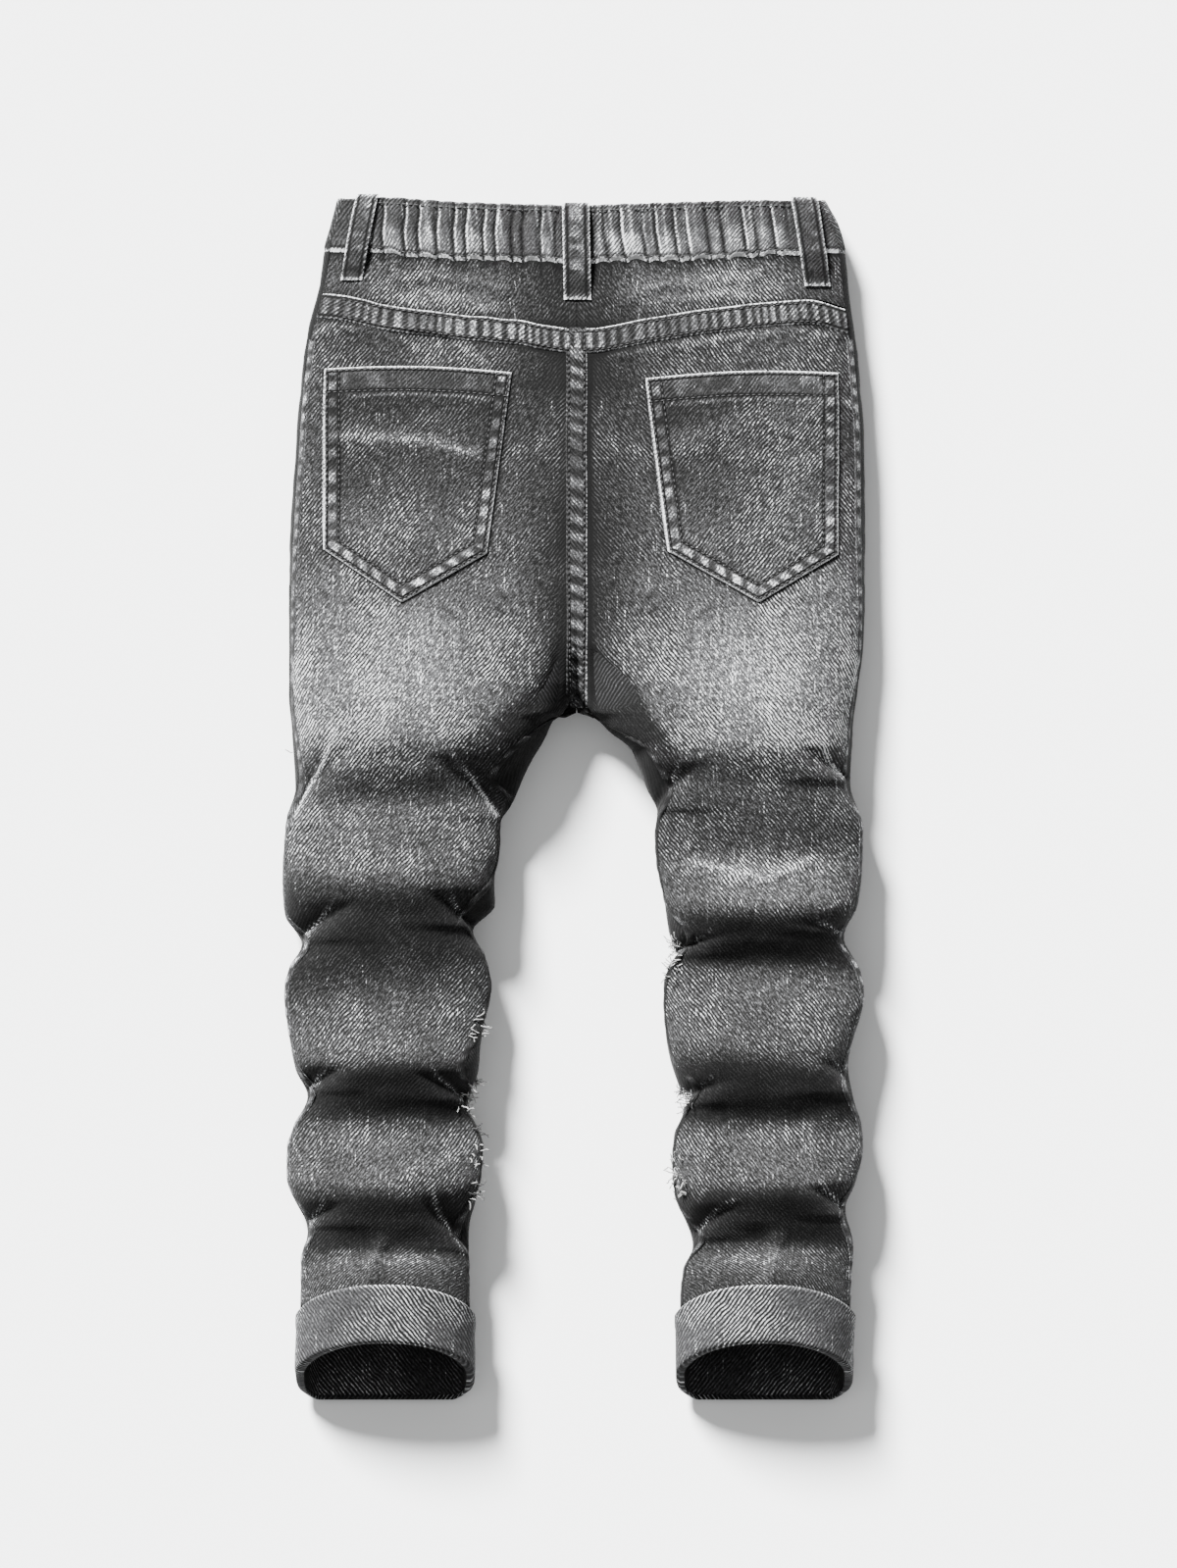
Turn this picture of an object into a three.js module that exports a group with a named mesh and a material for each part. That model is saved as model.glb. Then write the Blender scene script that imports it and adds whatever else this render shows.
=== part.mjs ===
// Child's ripped jeans with an elastic back waist and turned-up cuffs. They lie on their front, and the
// seat and legs are still filled out as hollow tubes that have buckled into folds.
// Millimetres. X runs across the seat, Y runs from the hems to the waist and Z is the height off the table.
// Every piece is a wall of cloth laid on one shared shape, which shapePoint() gives for each leg.

import * as THREE from 'three';

// Driving dimensions
const CLOTH = 1.5; // denim wall
const SEAM_GAP = 0.2; // half of the space between two pieces, along a seam
const OVERLAY_GAP = 0.35; // space under a small piece that lies on another
const POCKET_GAP = 0.6; // and under a pocket or a cuff, which spans more of a curve
const PATCH_CLOTH = 1.2; // pockets, loops and fly flap
const WAISTBAND_OUT = 1.0; // the waistband stands this far out of the yoke
const WAISTBAND_IN = 1.6; // and this far inside it, because it holds the elastic
const CUFF_CLOTH = 2.4; // turned-up cuff with its own hem
const CENTRE_X = 1; // centre back and centre front seams
const CROTCH_Y = 43;
const SEAT_ROUND_Y = 150; // above this the two halves are one flat tube
const FRONT_LIFT = 4; // the front waist lies this far off the table, over its loops and button
const FRONT_LIFT_FROM = 130;
const FRONT_LIFT_TO = 215;
const CUFF_LIFT = CUFF_CLOTH + POCKET_GAP; // the leg inside the cuff lies on the cuff
const CUFF_LEAN = 34; // the top of the mouth is set back this far behind its underside
const CUFF_HEIGHT = 46;
const CUFF_TOPS = [-262, -225]; // over this stretch the leg takes on the round arch of its cuff
const SIDE_HEIGHT = 20; // level of a leg's widest line
const CUFF_TOP_Y = -265; // at that level
const CUFF_HEM_Y = -295.5;
const LEG_END_Y = -293;
const GATHERS = 10; // on each side of the centre loop
const GATHER_PITCH = 9.4;
const GATHER_START = 10;
const GATHER_DEPTH = 0.9;
const BACK_REACH = 118; // the gathers end this far from the centre
const FRONT_DIP = 2; // the waist is cut this much lower at the centre front
const FLY_OFFSET = 0.8; // the edge of the fly flap lies this far from the centre front seam
const BUTTON_PLACE = [-11, 285];
// The top of a section is (1 - share ** power) ** flatness: a flat seat, boxy legs and arched cuffs.
const ARCH_POWER = 2.2;
const CREASE_POWER = 3.5;
const FLATNESS = { seat: 0.25, leg: 0.38, cuff: 0.6 };
const UNDER_ROUND = 1.3; // above 1 the underside is flat where it lies on the table

const degrees = THREE.MathUtils.degToRad;
const mix = THREE.MathUtils.lerp;
const rise = (x, low, high) => THREE.MathUtils.smoothstep(x, low, high);

// A smooth curve through [place, value] points that never swings past them.
function curve(points) {
  const known = [...points].sort((a, b) => a[0] - b[0]);
  const last = known.length - 1;
  const steps = known.slice(1).map((p, i) => (p[1] - known[i][1]) / (p[0] - known[i][0]));
  const slopes = known.map((p, i) => {
    if (i === 0 || i === last) return 0;
    return steps[i - 1] * steps[i] <= 0 ? 0 : (2 * steps[i - 1] * steps[i]) / (steps[i - 1] + steps[i]);
  });
  return (place) => {
    if (place <= known[0][0]) return known[0][1];
    if (place >= known[last][0]) return known[last][1];
    const i = known.findIndex((p) => p[0] > place) - 1;
    const span = known[i + 1][0] - known[i][0];
    const t = (place - known[i][0]) / span;
    const bend = t * t * (3 - 2 * t);
    const start = span * slopes[i] * t * (1 - t) ** 2;
    const end = span * slopes[i + 1] * t * t * (1 - t);
    return mix(known[i][1], known[i + 1][1], bend) + start - end;
  };
}

// Outlines of each half seen from above, as [Y, X] points. "creases" are the sharp edges of the buckled
// folds: each starts inside the leg at its first point and runs down to meet the outline at its last.
const LEFT = {
  side: -1,
  outer: curve([
    [307, -120], [290, -123.5], [278, -127], [260, -130], [236, -136], [190, -141], [105, -145.5],
    [50, -145.5], [27, -143.5], [3, -142], [-12, -146.5], [-43, -148.5], [-60, -147.5], [-76, -139],
    [-88, -145.5], [-100, -147.5], [-130, -144], [-140, -142], [-153, -136], [-168, -142.5],
    [-180, -146.2], [-194, -146.5], [-222, -136], [-236, -139], [-300, -139.5],
  ]),
  inner: curve([
    [CROTCH_Y, 0], [39.5, -9.5], [29.5, -15], [14, -24], [-4, -32], [-14, -38], [-28, -38.5],
    [-43, -41], [-56, -40.5], [-69, -52], [-82, -46], [-98, -42.8], [-111, -45], [-126, -48],
    [-140, -49], [-158, -55], [-170, -49.5], [-179, -47], [-194, -48], [-224, -54], [-300, -53.5],
  ]),
  height: curve([
    [307, 27], [272, 28], [235, 30], [150, 34], [90, 38], [33, 47], [15, 42], [-5, 35], [-25, 39],
    [-44, 45], [-62, 40], [-98, 31], [-120, 37], [-137, 44], [-150, 39], [-167, 32], [-185, 38],
    [-201, 44], [-216, 38], [-234, 32], [-250, 38], [-265, 42], [-300, 43],
  ]),
  outerCreases: [
    [[36, -122.5], [13, -130], [0, -138], [-19, -146.5]],
    [[-50, -122.5], [-60, -127], [-76, -139]],
    [[-134, -124.5], [-143, -130], [-153, -136]],
    [[-204, -127.5], [-222, -136]],
  ],
  innerCreases: [
    [[25, -62], [10, -53], [0, -46.5], [-14, -38]],
    [[-44, -64.5], [-61, -57.5], [-69, -52]],
    [[-137, -73], [-149, -62.5], [-158, -55]],
    [[-194, -73], [-212, -69], [-224, -61], [-236, -54]],
  ],
  inseam: curve([
    [CROTCH_Y, 0], [34, 26], [9.5, 44], [-6, 8], [-36, 4], [-60, 44], [-73, 8], [-98, 4], [-117, 14],
    [-140, 37], [-153, 8], [-190, 4], [-224, 32], [-238, 8],
  ]),
};

const RIGHT = {
  side: 1,
  outer: curve([
    [305, 127], [290, 133.5], [278, 137], [250, 140.5], [223, 144], [168, 147.5], [105, 147.7],
    [77, 147], [54, 144], [32, 141.5], [5, 140], [-16, 146.5], [-38, 146], [-55, 144], [-72, 137],
    [-90, 145.5], [-102, 147], [-111, 145.5], [-126, 141], [-137, 139], [-155, 142], [-167, 145.5],
    [-179, 146.5], [-198, 142.5], [-210, 137.5], [-229, 141.8], [-247, 140.5], [-300, 139],
  ]),
  inner: curve([
    [CROTCH_Y, 0], [41, 8], [32, 18], [24, 28.5], [13, 33], [2, 37.5], [-8, 42], [-20, 41],
    [-35, 42], [-47, 44.5], [-70, 48], [-80, 50.5], [-94, 46], [-104, 45.5], [-126, 47], [-136, 49],
    [-160, 55.5], [-173, 51], [-183, 50], [-202, 51], [-229, 60], [-243, 55.5], [-256, 54], [-300, 54],
  ]),
  height: curve([
    [307, 27], [272, 28], [235, 30], [150, 34], [90, 38], [28, 47], [5, 40], [-29, 33], [-44, 39],
    [-58, 45], [-72, 39], [-88, 31], [-112, 38], [-133, 44], [-150, 39], [-168, 31], [-186, 38],
    [-200, 44], [-215, 38], [-231, 32], [-248, 38], [-265, 42], [-300, 43],
  ]),
  outerCreases: [
    [[28, 126], [17, 129.5], [5, 140]],
    [[-62, 122.5], [-67, 130.5], [-72, 137]],
    [[-131, 131], [-142, 137], [-155, 142]],
    [[-194, 125], [-206, 133], [-217, 139.5]],
  ],
  innerCreases: [
    [[20, 53.5], [10, 50], [-1, 44.5], [-10, 41.8]],
    [[-68, 69.5], [-75, 58.5], [-84, 50]],
    [[-142, 70], [-149, 61.5], [-160, 55.5]],
    [[-204, 83], [-210, 72.5], [-218, 65.5], [-229, 60]],
  ],
  inseam: curve([
    [CROTCH_Y, 0], [30, 26], [4, 40], [-14, 8], [-48, 4], [-72, 40], [-88, 8], [-112, 4], [-134, 16],
    [-149, 37], [-164, 8], [-200, 4], [-225, 30], [-240, 8],
  ]),
};

// Level of the widest line, and the angle of the outseam above it.
const sideLevel = curve([
  [307, 14], [270, 13], [220, 10], [150, 9], [90, 12], [43, 17], [0, 20], [-300, 21],
]);
const outseamAngle = curve([
  [307, 12], [200, 12], [40, 14], [10, 20], [-20, 8], [-60, 8], [-74, 20], [-100, 8], [-130, 10],
  [-148, 22], [-170, 8], [-200, 12], [-220, 20], [-240, 8],
]);
const yokeSeam = (across) => mix(254.5, 237.5, across); // across runs from the side, 0, to the centre, 1
const waistSeam = (across) => mix(277, 270.5, across);
const waistTop = (across) => mix(304, 301, rise(across, 0.1, 0.4));

function frontLift(y) {
  return FRONT_LIFT * rise(y, FRONT_LIFT_FROM, FRONT_LIFT_TO) + CUFF_LIFT * (1 - rise(y, -262, -238));
}

// How far the section has turned from the side: a quarter turn across the seat, half a turn round a leg.
function sectionAngle(y) {
  return Math.PI * mix(1, 0.5, rise(y, CROTCH_Y, SEAT_ROUND_Y) ** 0.6);
}

// The crease in force at this height: its X, and how much of the fold above it is left outside it.
function creaseAt(creases, y) {
  for (const points of creases) {
    const [top, join] = [points[0], points[points.length - 1]];
    if (y <= top[0] && y >= join[0]) {
      const left = (y - join[0]) / (top[0] - join[0]);
      return { x: curve(points)(y), left: Math.sin((left * Math.PI) / 2) };
    }
  }
  return null;
}

const archShape = (share, power, flatness) => Math.max(0, 1 - Math.abs(share) ** power) ** flatness;

function flatnessAt(y) {
  const cuffShare = 1 - rise(y, ...CUFF_TOPS);
  const flatness = mix(FLATNESS.leg, FLATNESS.seat, rise(y, CROTCH_Y, SEAT_ROUND_Y));
  return mix(flatness, FLATNESS.cuff, cuffShare);
}

// Height share of the top at one place in the section. Beyond a crease only the fold above it stands.
function topShare(leg, y, x, share, middle) {
  const flatness = flatnessAt(y);
  const whole = archShape(share, ARCH_POWER, flatness);
  if (y > CROTCH_Y) return whole;
  const outside = (x - middle) * leg.side > 0;
  const crease = creaseAt(outside ? leg.outerCreases : leg.innerCreases, y);
  if (!crease) return whole;
  const inside = archShape((x - middle) / (crease.x - middle), CREASE_POWER, flatness);
  return Math.max(inside, whole * crease.left);
}

// A point of the shared outer shape. turn is 0 at the outer side, grows over the top towards the centre or
// inseam, and is negative underneath.
function shapePoint(leg, y, turn) {
  const full = sectionAngle(y);
  const outer = leg.outer(y);
  const inner = y > CROTCH_Y ? CENTRE_X : mix(leg.inner(y), CENTRE_X, rise(y, CROTCH_Y - 4, CROTCH_Y));
  const half = Math.abs(outer - inner) / (1 - Math.cos(full));
  const middle = outer - leg.side * half;
  const share = Math.cos(turn);
  const x = middle + leg.side * half * share;
  const side = sideLevel(y);
  const lift = frontLift(y);
  let z;
  if (Math.sin(turn) >= 0) {
    z = mix(side, leg.height(y), topShare(leg, y, x, share, middle));
  } else {
    z = Math.max(lift, side - (side - lift) * UNDER_ROUND * Math.sqrt(-Math.sin(turn)));
  }
  const lean = CUFF_LEAN * (1 - rise(y, -262, -215));
  return new THREE.Vector3(x, y + (lean * (z - SIDE_HEIGHT)) / CUFF_HEIGHT, z);
}

// The same point moved off the shape along its normal.
function offShape(leg, y, turn, out) {
  const step = { y: 0.6, turn: 0.02 };
  const alongY = shapePoint(leg, y + step.y, turn).sub(shapePoint(leg, y - step.y, turn));
  const alongTurn = shapePoint(leg, y, turn + step.turn).sub(shapePoint(leg, y, turn - step.turn));
  const normal = alongTurn.cross(alongY).multiplyScalar(-leg.side).normalize();
  return shapePoint(leg, y, turn).addScaledVector(normal, out);
}

// The turn at which the top of a half has this X. It serves the seat and yoke, where nothing is creased.
function turnAt(leg, x, y) {
  const outer = leg.outer(y);
  const half = Math.abs(outer - CENTRE_X) / (1 - Math.cos(sectionAngle(y)));
  return Math.acos(THREE.MathUtils.clamp((x - outer + leg.side * half) / (leg.side * half), -1, 1));
}

const halfAt = (x) => (x < CENTRE_X ? LEFT : RIGHT);

// A closed body from two grids of points: the face and the back of the cloth. Cells that torn() names are
// holes, and every free edge gets a narrow wall. A tube joins its last column to its first.
function clothGeometry(face, back, { tube = false, torn = () => false } = {}) {
  const rows = face.length;
  const columns = face[0].length;
  const positions = [...face.flat(), ...back.flat()].flatMap((p) => p.toArray());
  const id = (row, column, behind) => behind * rows * columns + row * columns + (column % columns);
  const cellColumns = tube ? columns : columns - 1;
  const whole = (row, column) => {
    if (row < 0 || row >= rows - 1) return false;
    const place = tube ? (column + cellColumns) % cellColumns : column;
    return place >= 0 && place < cellColumns && !torn(row, place);
  };
  const triangles = [];
  const quad = (a, b, c, d) => triangles.push(a, b, c, a, c, d);
  for (let row = 0; row < rows - 1; row += 1) {
    for (let column = 0; column < cellColumns; column += 1) {
      if (!whole(row, column)) continue;
      const corners = (behind) => [
        id(row, column, behind), id(row, column + 1, behind),
        id(row + 1, column + 1, behind), id(row + 1, column, behind),
      ];
      const [a, b, c, d] = corners(0);
      const [e, f, g, h] = corners(1);
      quad(a, b, c, d);
      quad(h, g, f, e);
      if (!whole(row - 1, column)) quad(a, e, f, b);
      if (!whole(row + 1, column)) quad(c, g, h, d);
      if (!whole(row, column - 1)) quad(d, h, e, a);
      if (!whole(row, column + 1)) quad(b, f, g, c);
    }
  }
  return closedGeometry(positions, triangles);
}

// Drops points that no triangle uses, and turns the faces outwards.
function closedGeometry(positions, triangles) {
  const used = [...new Set(triangles)];
  const place = new Map(used.map((old, i) => [old, i]));
  const points = used.map((old) => new THREE.Vector3().fromArray(positions, old * 3));
  const index = triangles.map((old) => place.get(old));
  let volume = 0;
  for (let i = 0; i < index.length; i += 3) {
    const [a, b, c] = [points[index[i]], points[index[i + 1]], points[index[i + 2]]];
    volume += a.dot(b.clone().cross(c));
  }
  if (volume < 0) index.reverse();
  const geometry = new THREE.BufferGeometry();
  geometry.setAttribute('position', new THREE.Float32BufferAttribute(points.flatMap((p) => p.toArray()), 3));
  geometry.setIndex(index);
  geometry.computeVertexNormals();
  return geometry;
}

const jeans = new THREE.Group();
const denim = { color: 0x5c5c5c, roughness: 0.9, metalness: 0 };
const denimBack = { color: 0x9a9a9a, roughness: 0.95, metalness: 0 };
const blackenedBrass = { color: 0x3a3835, roughness: 0.4, metalness: 0.9 };

function addPiece(name, finish, geometry) {
  const mesh = new THREE.Mesh(geometry, new THREE.MeshStandardMaterial(finish));
  mesh.name = name;
  jeans.add(mesh);
}

// Two grids over rows and columns, where place(row, column) gives [leg, y, turn].
function grids(rowCount, columnCount, place, out, inside) {
  const make = (offset) => Array.from({ length: rowCount }, (_, row) =>
    Array.from({ length: columnCount }, (__, column) => {
      const [leg, y, turn] = place(row, column);
      return offShape(leg, y, turn, typeof offset === 'function' ? offset(row, column) : offset);
    }));
  return [make(out), make(inside)];
}

const seamTurn = 0.006; // SEAM_GAP as a turn, at the sides
const outseam = (y) => degrees(outseamAngle(y));
const centreTurn = (leg, y) => turnAt(leg, CENTRE_X + leg.side * SEAM_GAP, y);
const inseamTurn = (leg, y) => Math.PI - degrees(leg.inseam(y));

function panelRows(first) {
  return [
    first, 212, 185, 155, 125, 98, 78, 62, 51, 44, 40.5, 36, 29, 19, 8, -4, -15, -26, -36, -45, -54,
    -62, -70, -78, -88, -99, -111, -123, -133, -142, -150, -158, -168, -179, -190, -200, -210, -221,
    -233, -246, -262, -278, LEG_END_Y,
  ];
}

// Seat and back of the leg in one, from the outseam to the centre back seam and the inseam.
function backPanel(leg, name) {
  const columns = 12;
  const rows = panelRows(0);
  const place = (row, column) => {
    const across = column / (columns - 1);
    const y = row === 0 ? yokeSeam(across) - SEAM_GAP : rows[row];
    const start = outseam(y) + seamTurn;
    const end = y > CROTCH_Y ? centreTurn(leg, y) : Math.min(inseamTurn(leg, y), Math.PI) - seamTurn;
    return [leg, y, mix(start, end, across)];
  };
  addPiece(name, denim, clothGeometry(...grids(rows.length, columns, place, 0, -CLOTH)));
}

// The front has three rows above the level of the yoke seam.
const frontTop = (across, row) => mix(waistSeam(across) - SEAM_GAP, yokeSeam(across), row / 2);

// The front lies on the table and turns up at the sides to its seams. rips are [Y, first, last] cells.
function frontPanel(leg, name, rips) {
  const columns = 9;
  const rows = [waistSeam(1), yokeSeam(0), yokeSeam(1), ...panelRows(0).slice(1)];
  const place = (row, column) => {
    const across = column / (columns - 1);
    const y = row < 3 ? frontTop(across, row) : rows[row];
    const start = outseam(y) - seamTurn;
    const end = y > CROTCH_Y ? -centreTurn(leg, y) : -2 * Math.PI + inseamTurn(leg, y) + seamTurn;
    return [leg, y, mix(start, end, across)];
  };
  const torn = (row, column) => rips.some(([y, first, last]) =>
    rows[row] > y && rows[row + 1] <= y && column >= first && column <= last);
  addPiece(name, denim, clothGeometry(...grids(rows.length, columns, place, 0, -CLOTH), { torn }));
}

// The shaped piece between the waistband and the seat.
function yoke(leg, name) {
  const columns = 9;
  const place = (row, column) => {
    const across = column / (columns - 1);
    const y = mix(waistSeam(across) - SEAM_GAP, yokeSeam(across) + SEAM_GAP, row / 2);
    return [leg, y, mix(outseam(y) + seamTurn, centreTurn(leg, y), across)];
  };
  addPiece(name, denim, clothGeometry(...grids(3, columns, place, 0, -CLOTH)));
}

// X of each gather and of the dip between two, from the centre outwards on one side.
function gatherPlaces() {
  const places = [GATHER_START];
  for (let i = 1; i <= GATHERS * 2; i += 1) places.push(GATHER_START + (i * GATHER_PITCH) / 2);
  return places;
}

const bandRows = [0, 0.45, 1]; // shares of the waistband's depth

function waistbandBack() {
  const half = gatherPlaces();
  const xs = [-BACK_REACH, ...half.map((x) => -x).reverse(), 0, ...half, BACK_REACH];
  const across = (x) => 1 - Math.min(1, Math.abs(x) / BACK_REACH);
  const columns = xs.length;
  const place = (row, column) => {
    const x = xs[column];
    const y = mix(waistSeam(across(x)) + SEAM_GAP, waistTop(across(x)), bandRows[row]);
    const leg = halfAt(x + CENTRE_X);
    const atSide = column === 0 || column === columns - 1;
    return [leg, y, atSide ? outseam(y) + seamTurn : turnAt(leg, x + CENTRE_X, y)];
  };
  const gather = (row, column) => {
    const step = Math.abs(column - (columns - 1) / 2);
    const edge = step < 2 || step > half.length ? 0 : 1;
    return edge * (Math.round(step) % 2 === 0 ? GATHER_DEPTH : 0) * (row === 2 ? 0.6 : 1);
  };
  const [face, back] = grids(
    bandRows.length, columns, place,
    (row, column) => WAISTBAND_OUT + gather(row, column), -WAISTBAND_IN,
  );
  addPiece('waistband_back', denim, clothGeometry(face, back));
}

function waistbandFront() {
  const perSide = 9;
  const columns = perSide * 2 - 1;
  const place = (row, column) => {
    const leg = column < perSide ? LEFT : RIGHT;
    const across = 1 - Math.abs(column - (perSide - 1)) / (perSide - 1);
    const y = mix(waistSeam(across) + SEAM_GAP, waistTop(across) - FRONT_DIP * across, bandRows[row]);
    const middle = -turnAt(leg, CENTRE_X, y);
    return [leg, y, mix(outseam(y) - seamTurn, middle, across)];
  };
  const [face, back] = grids(bandRows.length, columns, place, WAISTBAND_OUT, -WAISTBAND_IN);
  addPiece('waistband_front', denim, clothGeometry(face, back));
}

// A patch pocket: straight top, sides that draw in and a shallow point. Corners are [X, Y].
function pocket(leg, name, { topLeft, topRight, lowLeft, point, lowRight }) {
  const shares = [0, 0.1, 0.25, (point[0] - lowLeft[0]) / (lowRight[0] - lowLeft[0]), 0.75, 0.9, 1];
  const rowCount = 6;
  const pointShare = shares[3];
  const low = (share) => {
    if (share <= pointShare) return mix(lowLeft[1], point[1], share / pointShare);
    return mix(point[1], lowRight[1], (share - pointShare) / (1 - pointShare));
  };
  const place = (row, column) => {
    const share = shares[column];
    const down = row / (rowCount - 1);
    const y = mix(mix(topLeft[1], topRight[1], share), low(share), down);
    const x = mix(mix(topLeft[0], lowLeft[0], down), mix(topRight[0], lowRight[0], down), share);
    return [leg, y, turnAt(leg, x, y)];
  };
  const out = POCKET_GAP + PATCH_CLOTH;
  addPiece(name, denim, clothGeometry(...grids(rowCount, shares.length, place, out, POCKET_GAP)));
}

// A belt loop bridges the waistband and is tacked to it above and to the yoke or front below.
function beltLoop(name, { top, foot, width, under = false }) {
  const stations = [0, 0.12, 0.35, 0.62, 0.8, 1]; // shares of its length
  const leavesBand = 0.6;
  const bridge = curve([[0, WAISTBAND_OUT + 0.5], [0.35, 2.9], [0.62, 2.6], [0.8, 1.3], [1, OVERLAY_GAP]]);
  const slack = under ? 0.55 : 1; // those under the front are pressed flatter
  const place = (row, column) => {
    const share = stations[row];
    const x = mix(top[0], foot[0], share) + (column / 2 - 0.5) * width;
    const y = mix(top[1], foot[1], share);
    const leg = halfAt(x);
    const turn = turnAt(leg, x, y);
    return [leg, y, under ? -turn : turn];
  };
  const clearance = (row) => OVERLAY_GAP + (stations[row] < leavesBand ? WAISTBAND_OUT : 0);
  const lowSide = (row) => Math.max(bridge(stations[row]) * slack, clearance(row));
  const [face, back] = grids(stations.length, 3, place, (row) => lowSide(row) + PATCH_CLOTH, lowSide);
  addPiece(name, denim, clothGeometry(face, back));
}

// The hem of the leg turned up on the outside, so that the pale back of the cloth shows.
function cuff(leg, name) {
  const columns = 26;
  const rowYs = [CUFF_TOP_Y, mix(CUFF_TOP_Y, CUFF_HEM_Y, 0.5), CUFF_HEM_Y];
  const place = (row, column) => [leg, rowYs[row], (column / columns) * 2 * Math.PI];
  const [face, back] = grids(3, columns, place, POCKET_GAP + CUFF_CLOTH, POCKET_GAP);
  addPiece(name, denimBack, clothGeometry(face, back, { tube: true }));
}

// The stitched-down flap over the closing, on the hidden front.
function flyFlap() {
  const rows = [269, 248, 226, 206, 192, 184];
  const widths = [28, 28, 28, 26, 19, 8];
  const place = (row, column) => {
    const x = CENTRE_X - FLY_OFFSET - widths[row] * (1 - column / 2);
    return [LEFT, rows[row], -turnAt(LEFT, x, rows[row])];
  };
  const [face, back] = grids(rows.length, 3, place, OVERLAY_GAP + PATCH_CLOTH, OVERLAY_GAP);
  addPiece('fly_flap', denim, clothGeometry(face, back));
}

function waistButton() {
  const thickness = 2.3;
  const profile = [[0, 0], [6.2, 0], [8, 0.7], [8.2, 1.5], [7.4, thickness], [0, thickness]];
  const geometry = new THREE.LatheGeometry(profile.map(([x, y]) => new THREE.Vector2(x, y)), 20);
  geometry.rotateX(Math.PI / 2);
  geometry.translate(...BUTTON_PLACE, FRONT_LIFT - WAISTBAND_OUT - OVERLAY_GAP - thickness);
  addPiece('waist_button', blackenedBrass, geometry);
}

backPanel(LEFT, 'back_left');
backPanel(RIGHT, 'back_right');
frontPanel(LEFT, 'front_left', [[-151, 4, 6], [-191, 4, 6]]);
frontPanel(RIGHT, 'front_right', [[-84, 4, 6], [-151, 5, 6], [-191, 4, 6]]);
yoke(LEFT, 'yoke_left');
yoke(RIGHT, 'yoke_right');
waistbandBack();
waistbandFront();
pocket(LEFT, 'pocket_left', {
  topLeft: [-127, 217],
  topRight: [-32, 215],
  lowLeft: [-127.5, 125],
  point: [-88, 98],
  lowRight: [-44.5, 123],
});
pocket(RIGHT, 'pocket_right', {
  topLeft: [36, 212],
  topRight: [134, 215],
  lowLeft: [47.5, 124],
  point: [93.5, 98],
  lowRight: [134, 122.5],
});
beltLoop('loop_back_left', { top: [-105, 306], foot: [-113.5, 262], width: 11 });
beltLoop('loop_centre', { top: [0.5, 301], foot: [1.5, 252], width: 14 });
beltLoop('loop_back_right', { top: [116, 304.5], foot: [123.5, 259], width: 13 });
beltLoop('loop_front_left', { top: [-72, 300], foot: [-74, 258], width: 12, under: true });
beltLoop('loop_front_right', { top: [74, 300], foot: [76, 258], width: 12, under: true });
cuff(LEFT, 'cuff_left');
cuff(RIGHT, 'cuff_right');
flyFlap();
waistButton();

export default jeans;
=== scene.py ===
"""Child's ripped jeans with an elastic back waist. They lie on their front and their legs are still filled
out, buckled into folds, with the hems turned up once. The cloth is a stretch denim twill: a black-dyed warp
over a pale weft, stone-washed."""
import math
import random

import bpy
import numpy as np
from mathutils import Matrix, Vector


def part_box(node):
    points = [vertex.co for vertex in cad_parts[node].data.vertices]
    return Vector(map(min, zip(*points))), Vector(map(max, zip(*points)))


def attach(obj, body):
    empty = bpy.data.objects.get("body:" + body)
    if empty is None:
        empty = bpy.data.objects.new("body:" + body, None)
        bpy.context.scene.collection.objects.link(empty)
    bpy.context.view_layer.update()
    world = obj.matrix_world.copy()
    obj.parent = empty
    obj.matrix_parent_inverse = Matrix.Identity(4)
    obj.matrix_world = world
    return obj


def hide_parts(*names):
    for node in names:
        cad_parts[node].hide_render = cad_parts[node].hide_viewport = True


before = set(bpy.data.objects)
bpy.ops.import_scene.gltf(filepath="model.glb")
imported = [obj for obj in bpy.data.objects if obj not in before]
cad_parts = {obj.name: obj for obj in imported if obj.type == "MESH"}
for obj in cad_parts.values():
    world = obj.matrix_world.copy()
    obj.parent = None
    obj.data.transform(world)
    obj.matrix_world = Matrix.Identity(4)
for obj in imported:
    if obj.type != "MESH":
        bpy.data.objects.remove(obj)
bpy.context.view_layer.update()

# Lengths are in millimetres until a mesh is made. X runs across the seat, Y up to the waist, Z off the table.
MM = 0.001
CLOTH = 1.3  # denim wall
THIN_CLOTH = 1.1  # patch pockets, belt loops and the fly flap
CENTRE_X = 1.0  # centre back and centre front seams
CROTCH_Y = 43.0
SEAT_ROUND_Y = 150.0  # above this the two halves are one flat tube
SIDE_HEIGHT = 20.0  # level of a leg's widest line
CUFF_HEIGHT = 46.0
CUFF_LEAN = 34.0  # the top of a leg's mouth is set back this far behind its underside
# How boxy a section is: 1 is a parabola and 0 a box.
SEAT_FLATNESS, LEG_FLATNESS, CUFF_FLATNESS = 0.25, 0.38, 0.6
ARCH_POWER = 2.2
CUFF_LIFT = 3.0  # the leg inside its cuff lies on the cuff
CUFF_TOP_Y, CUFF_HEM_Y = -265.0, -295.5
LEG_END_Y = -293.0
IN_CUFF_Y = -262.0  # from here down a leg has the form of its cuff
SEAM_GAP = 0.12  # each half stops this far short of the centre
TURN_GAP = 0.004  # and each panel this many radians short of its outseam and inseam
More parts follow.
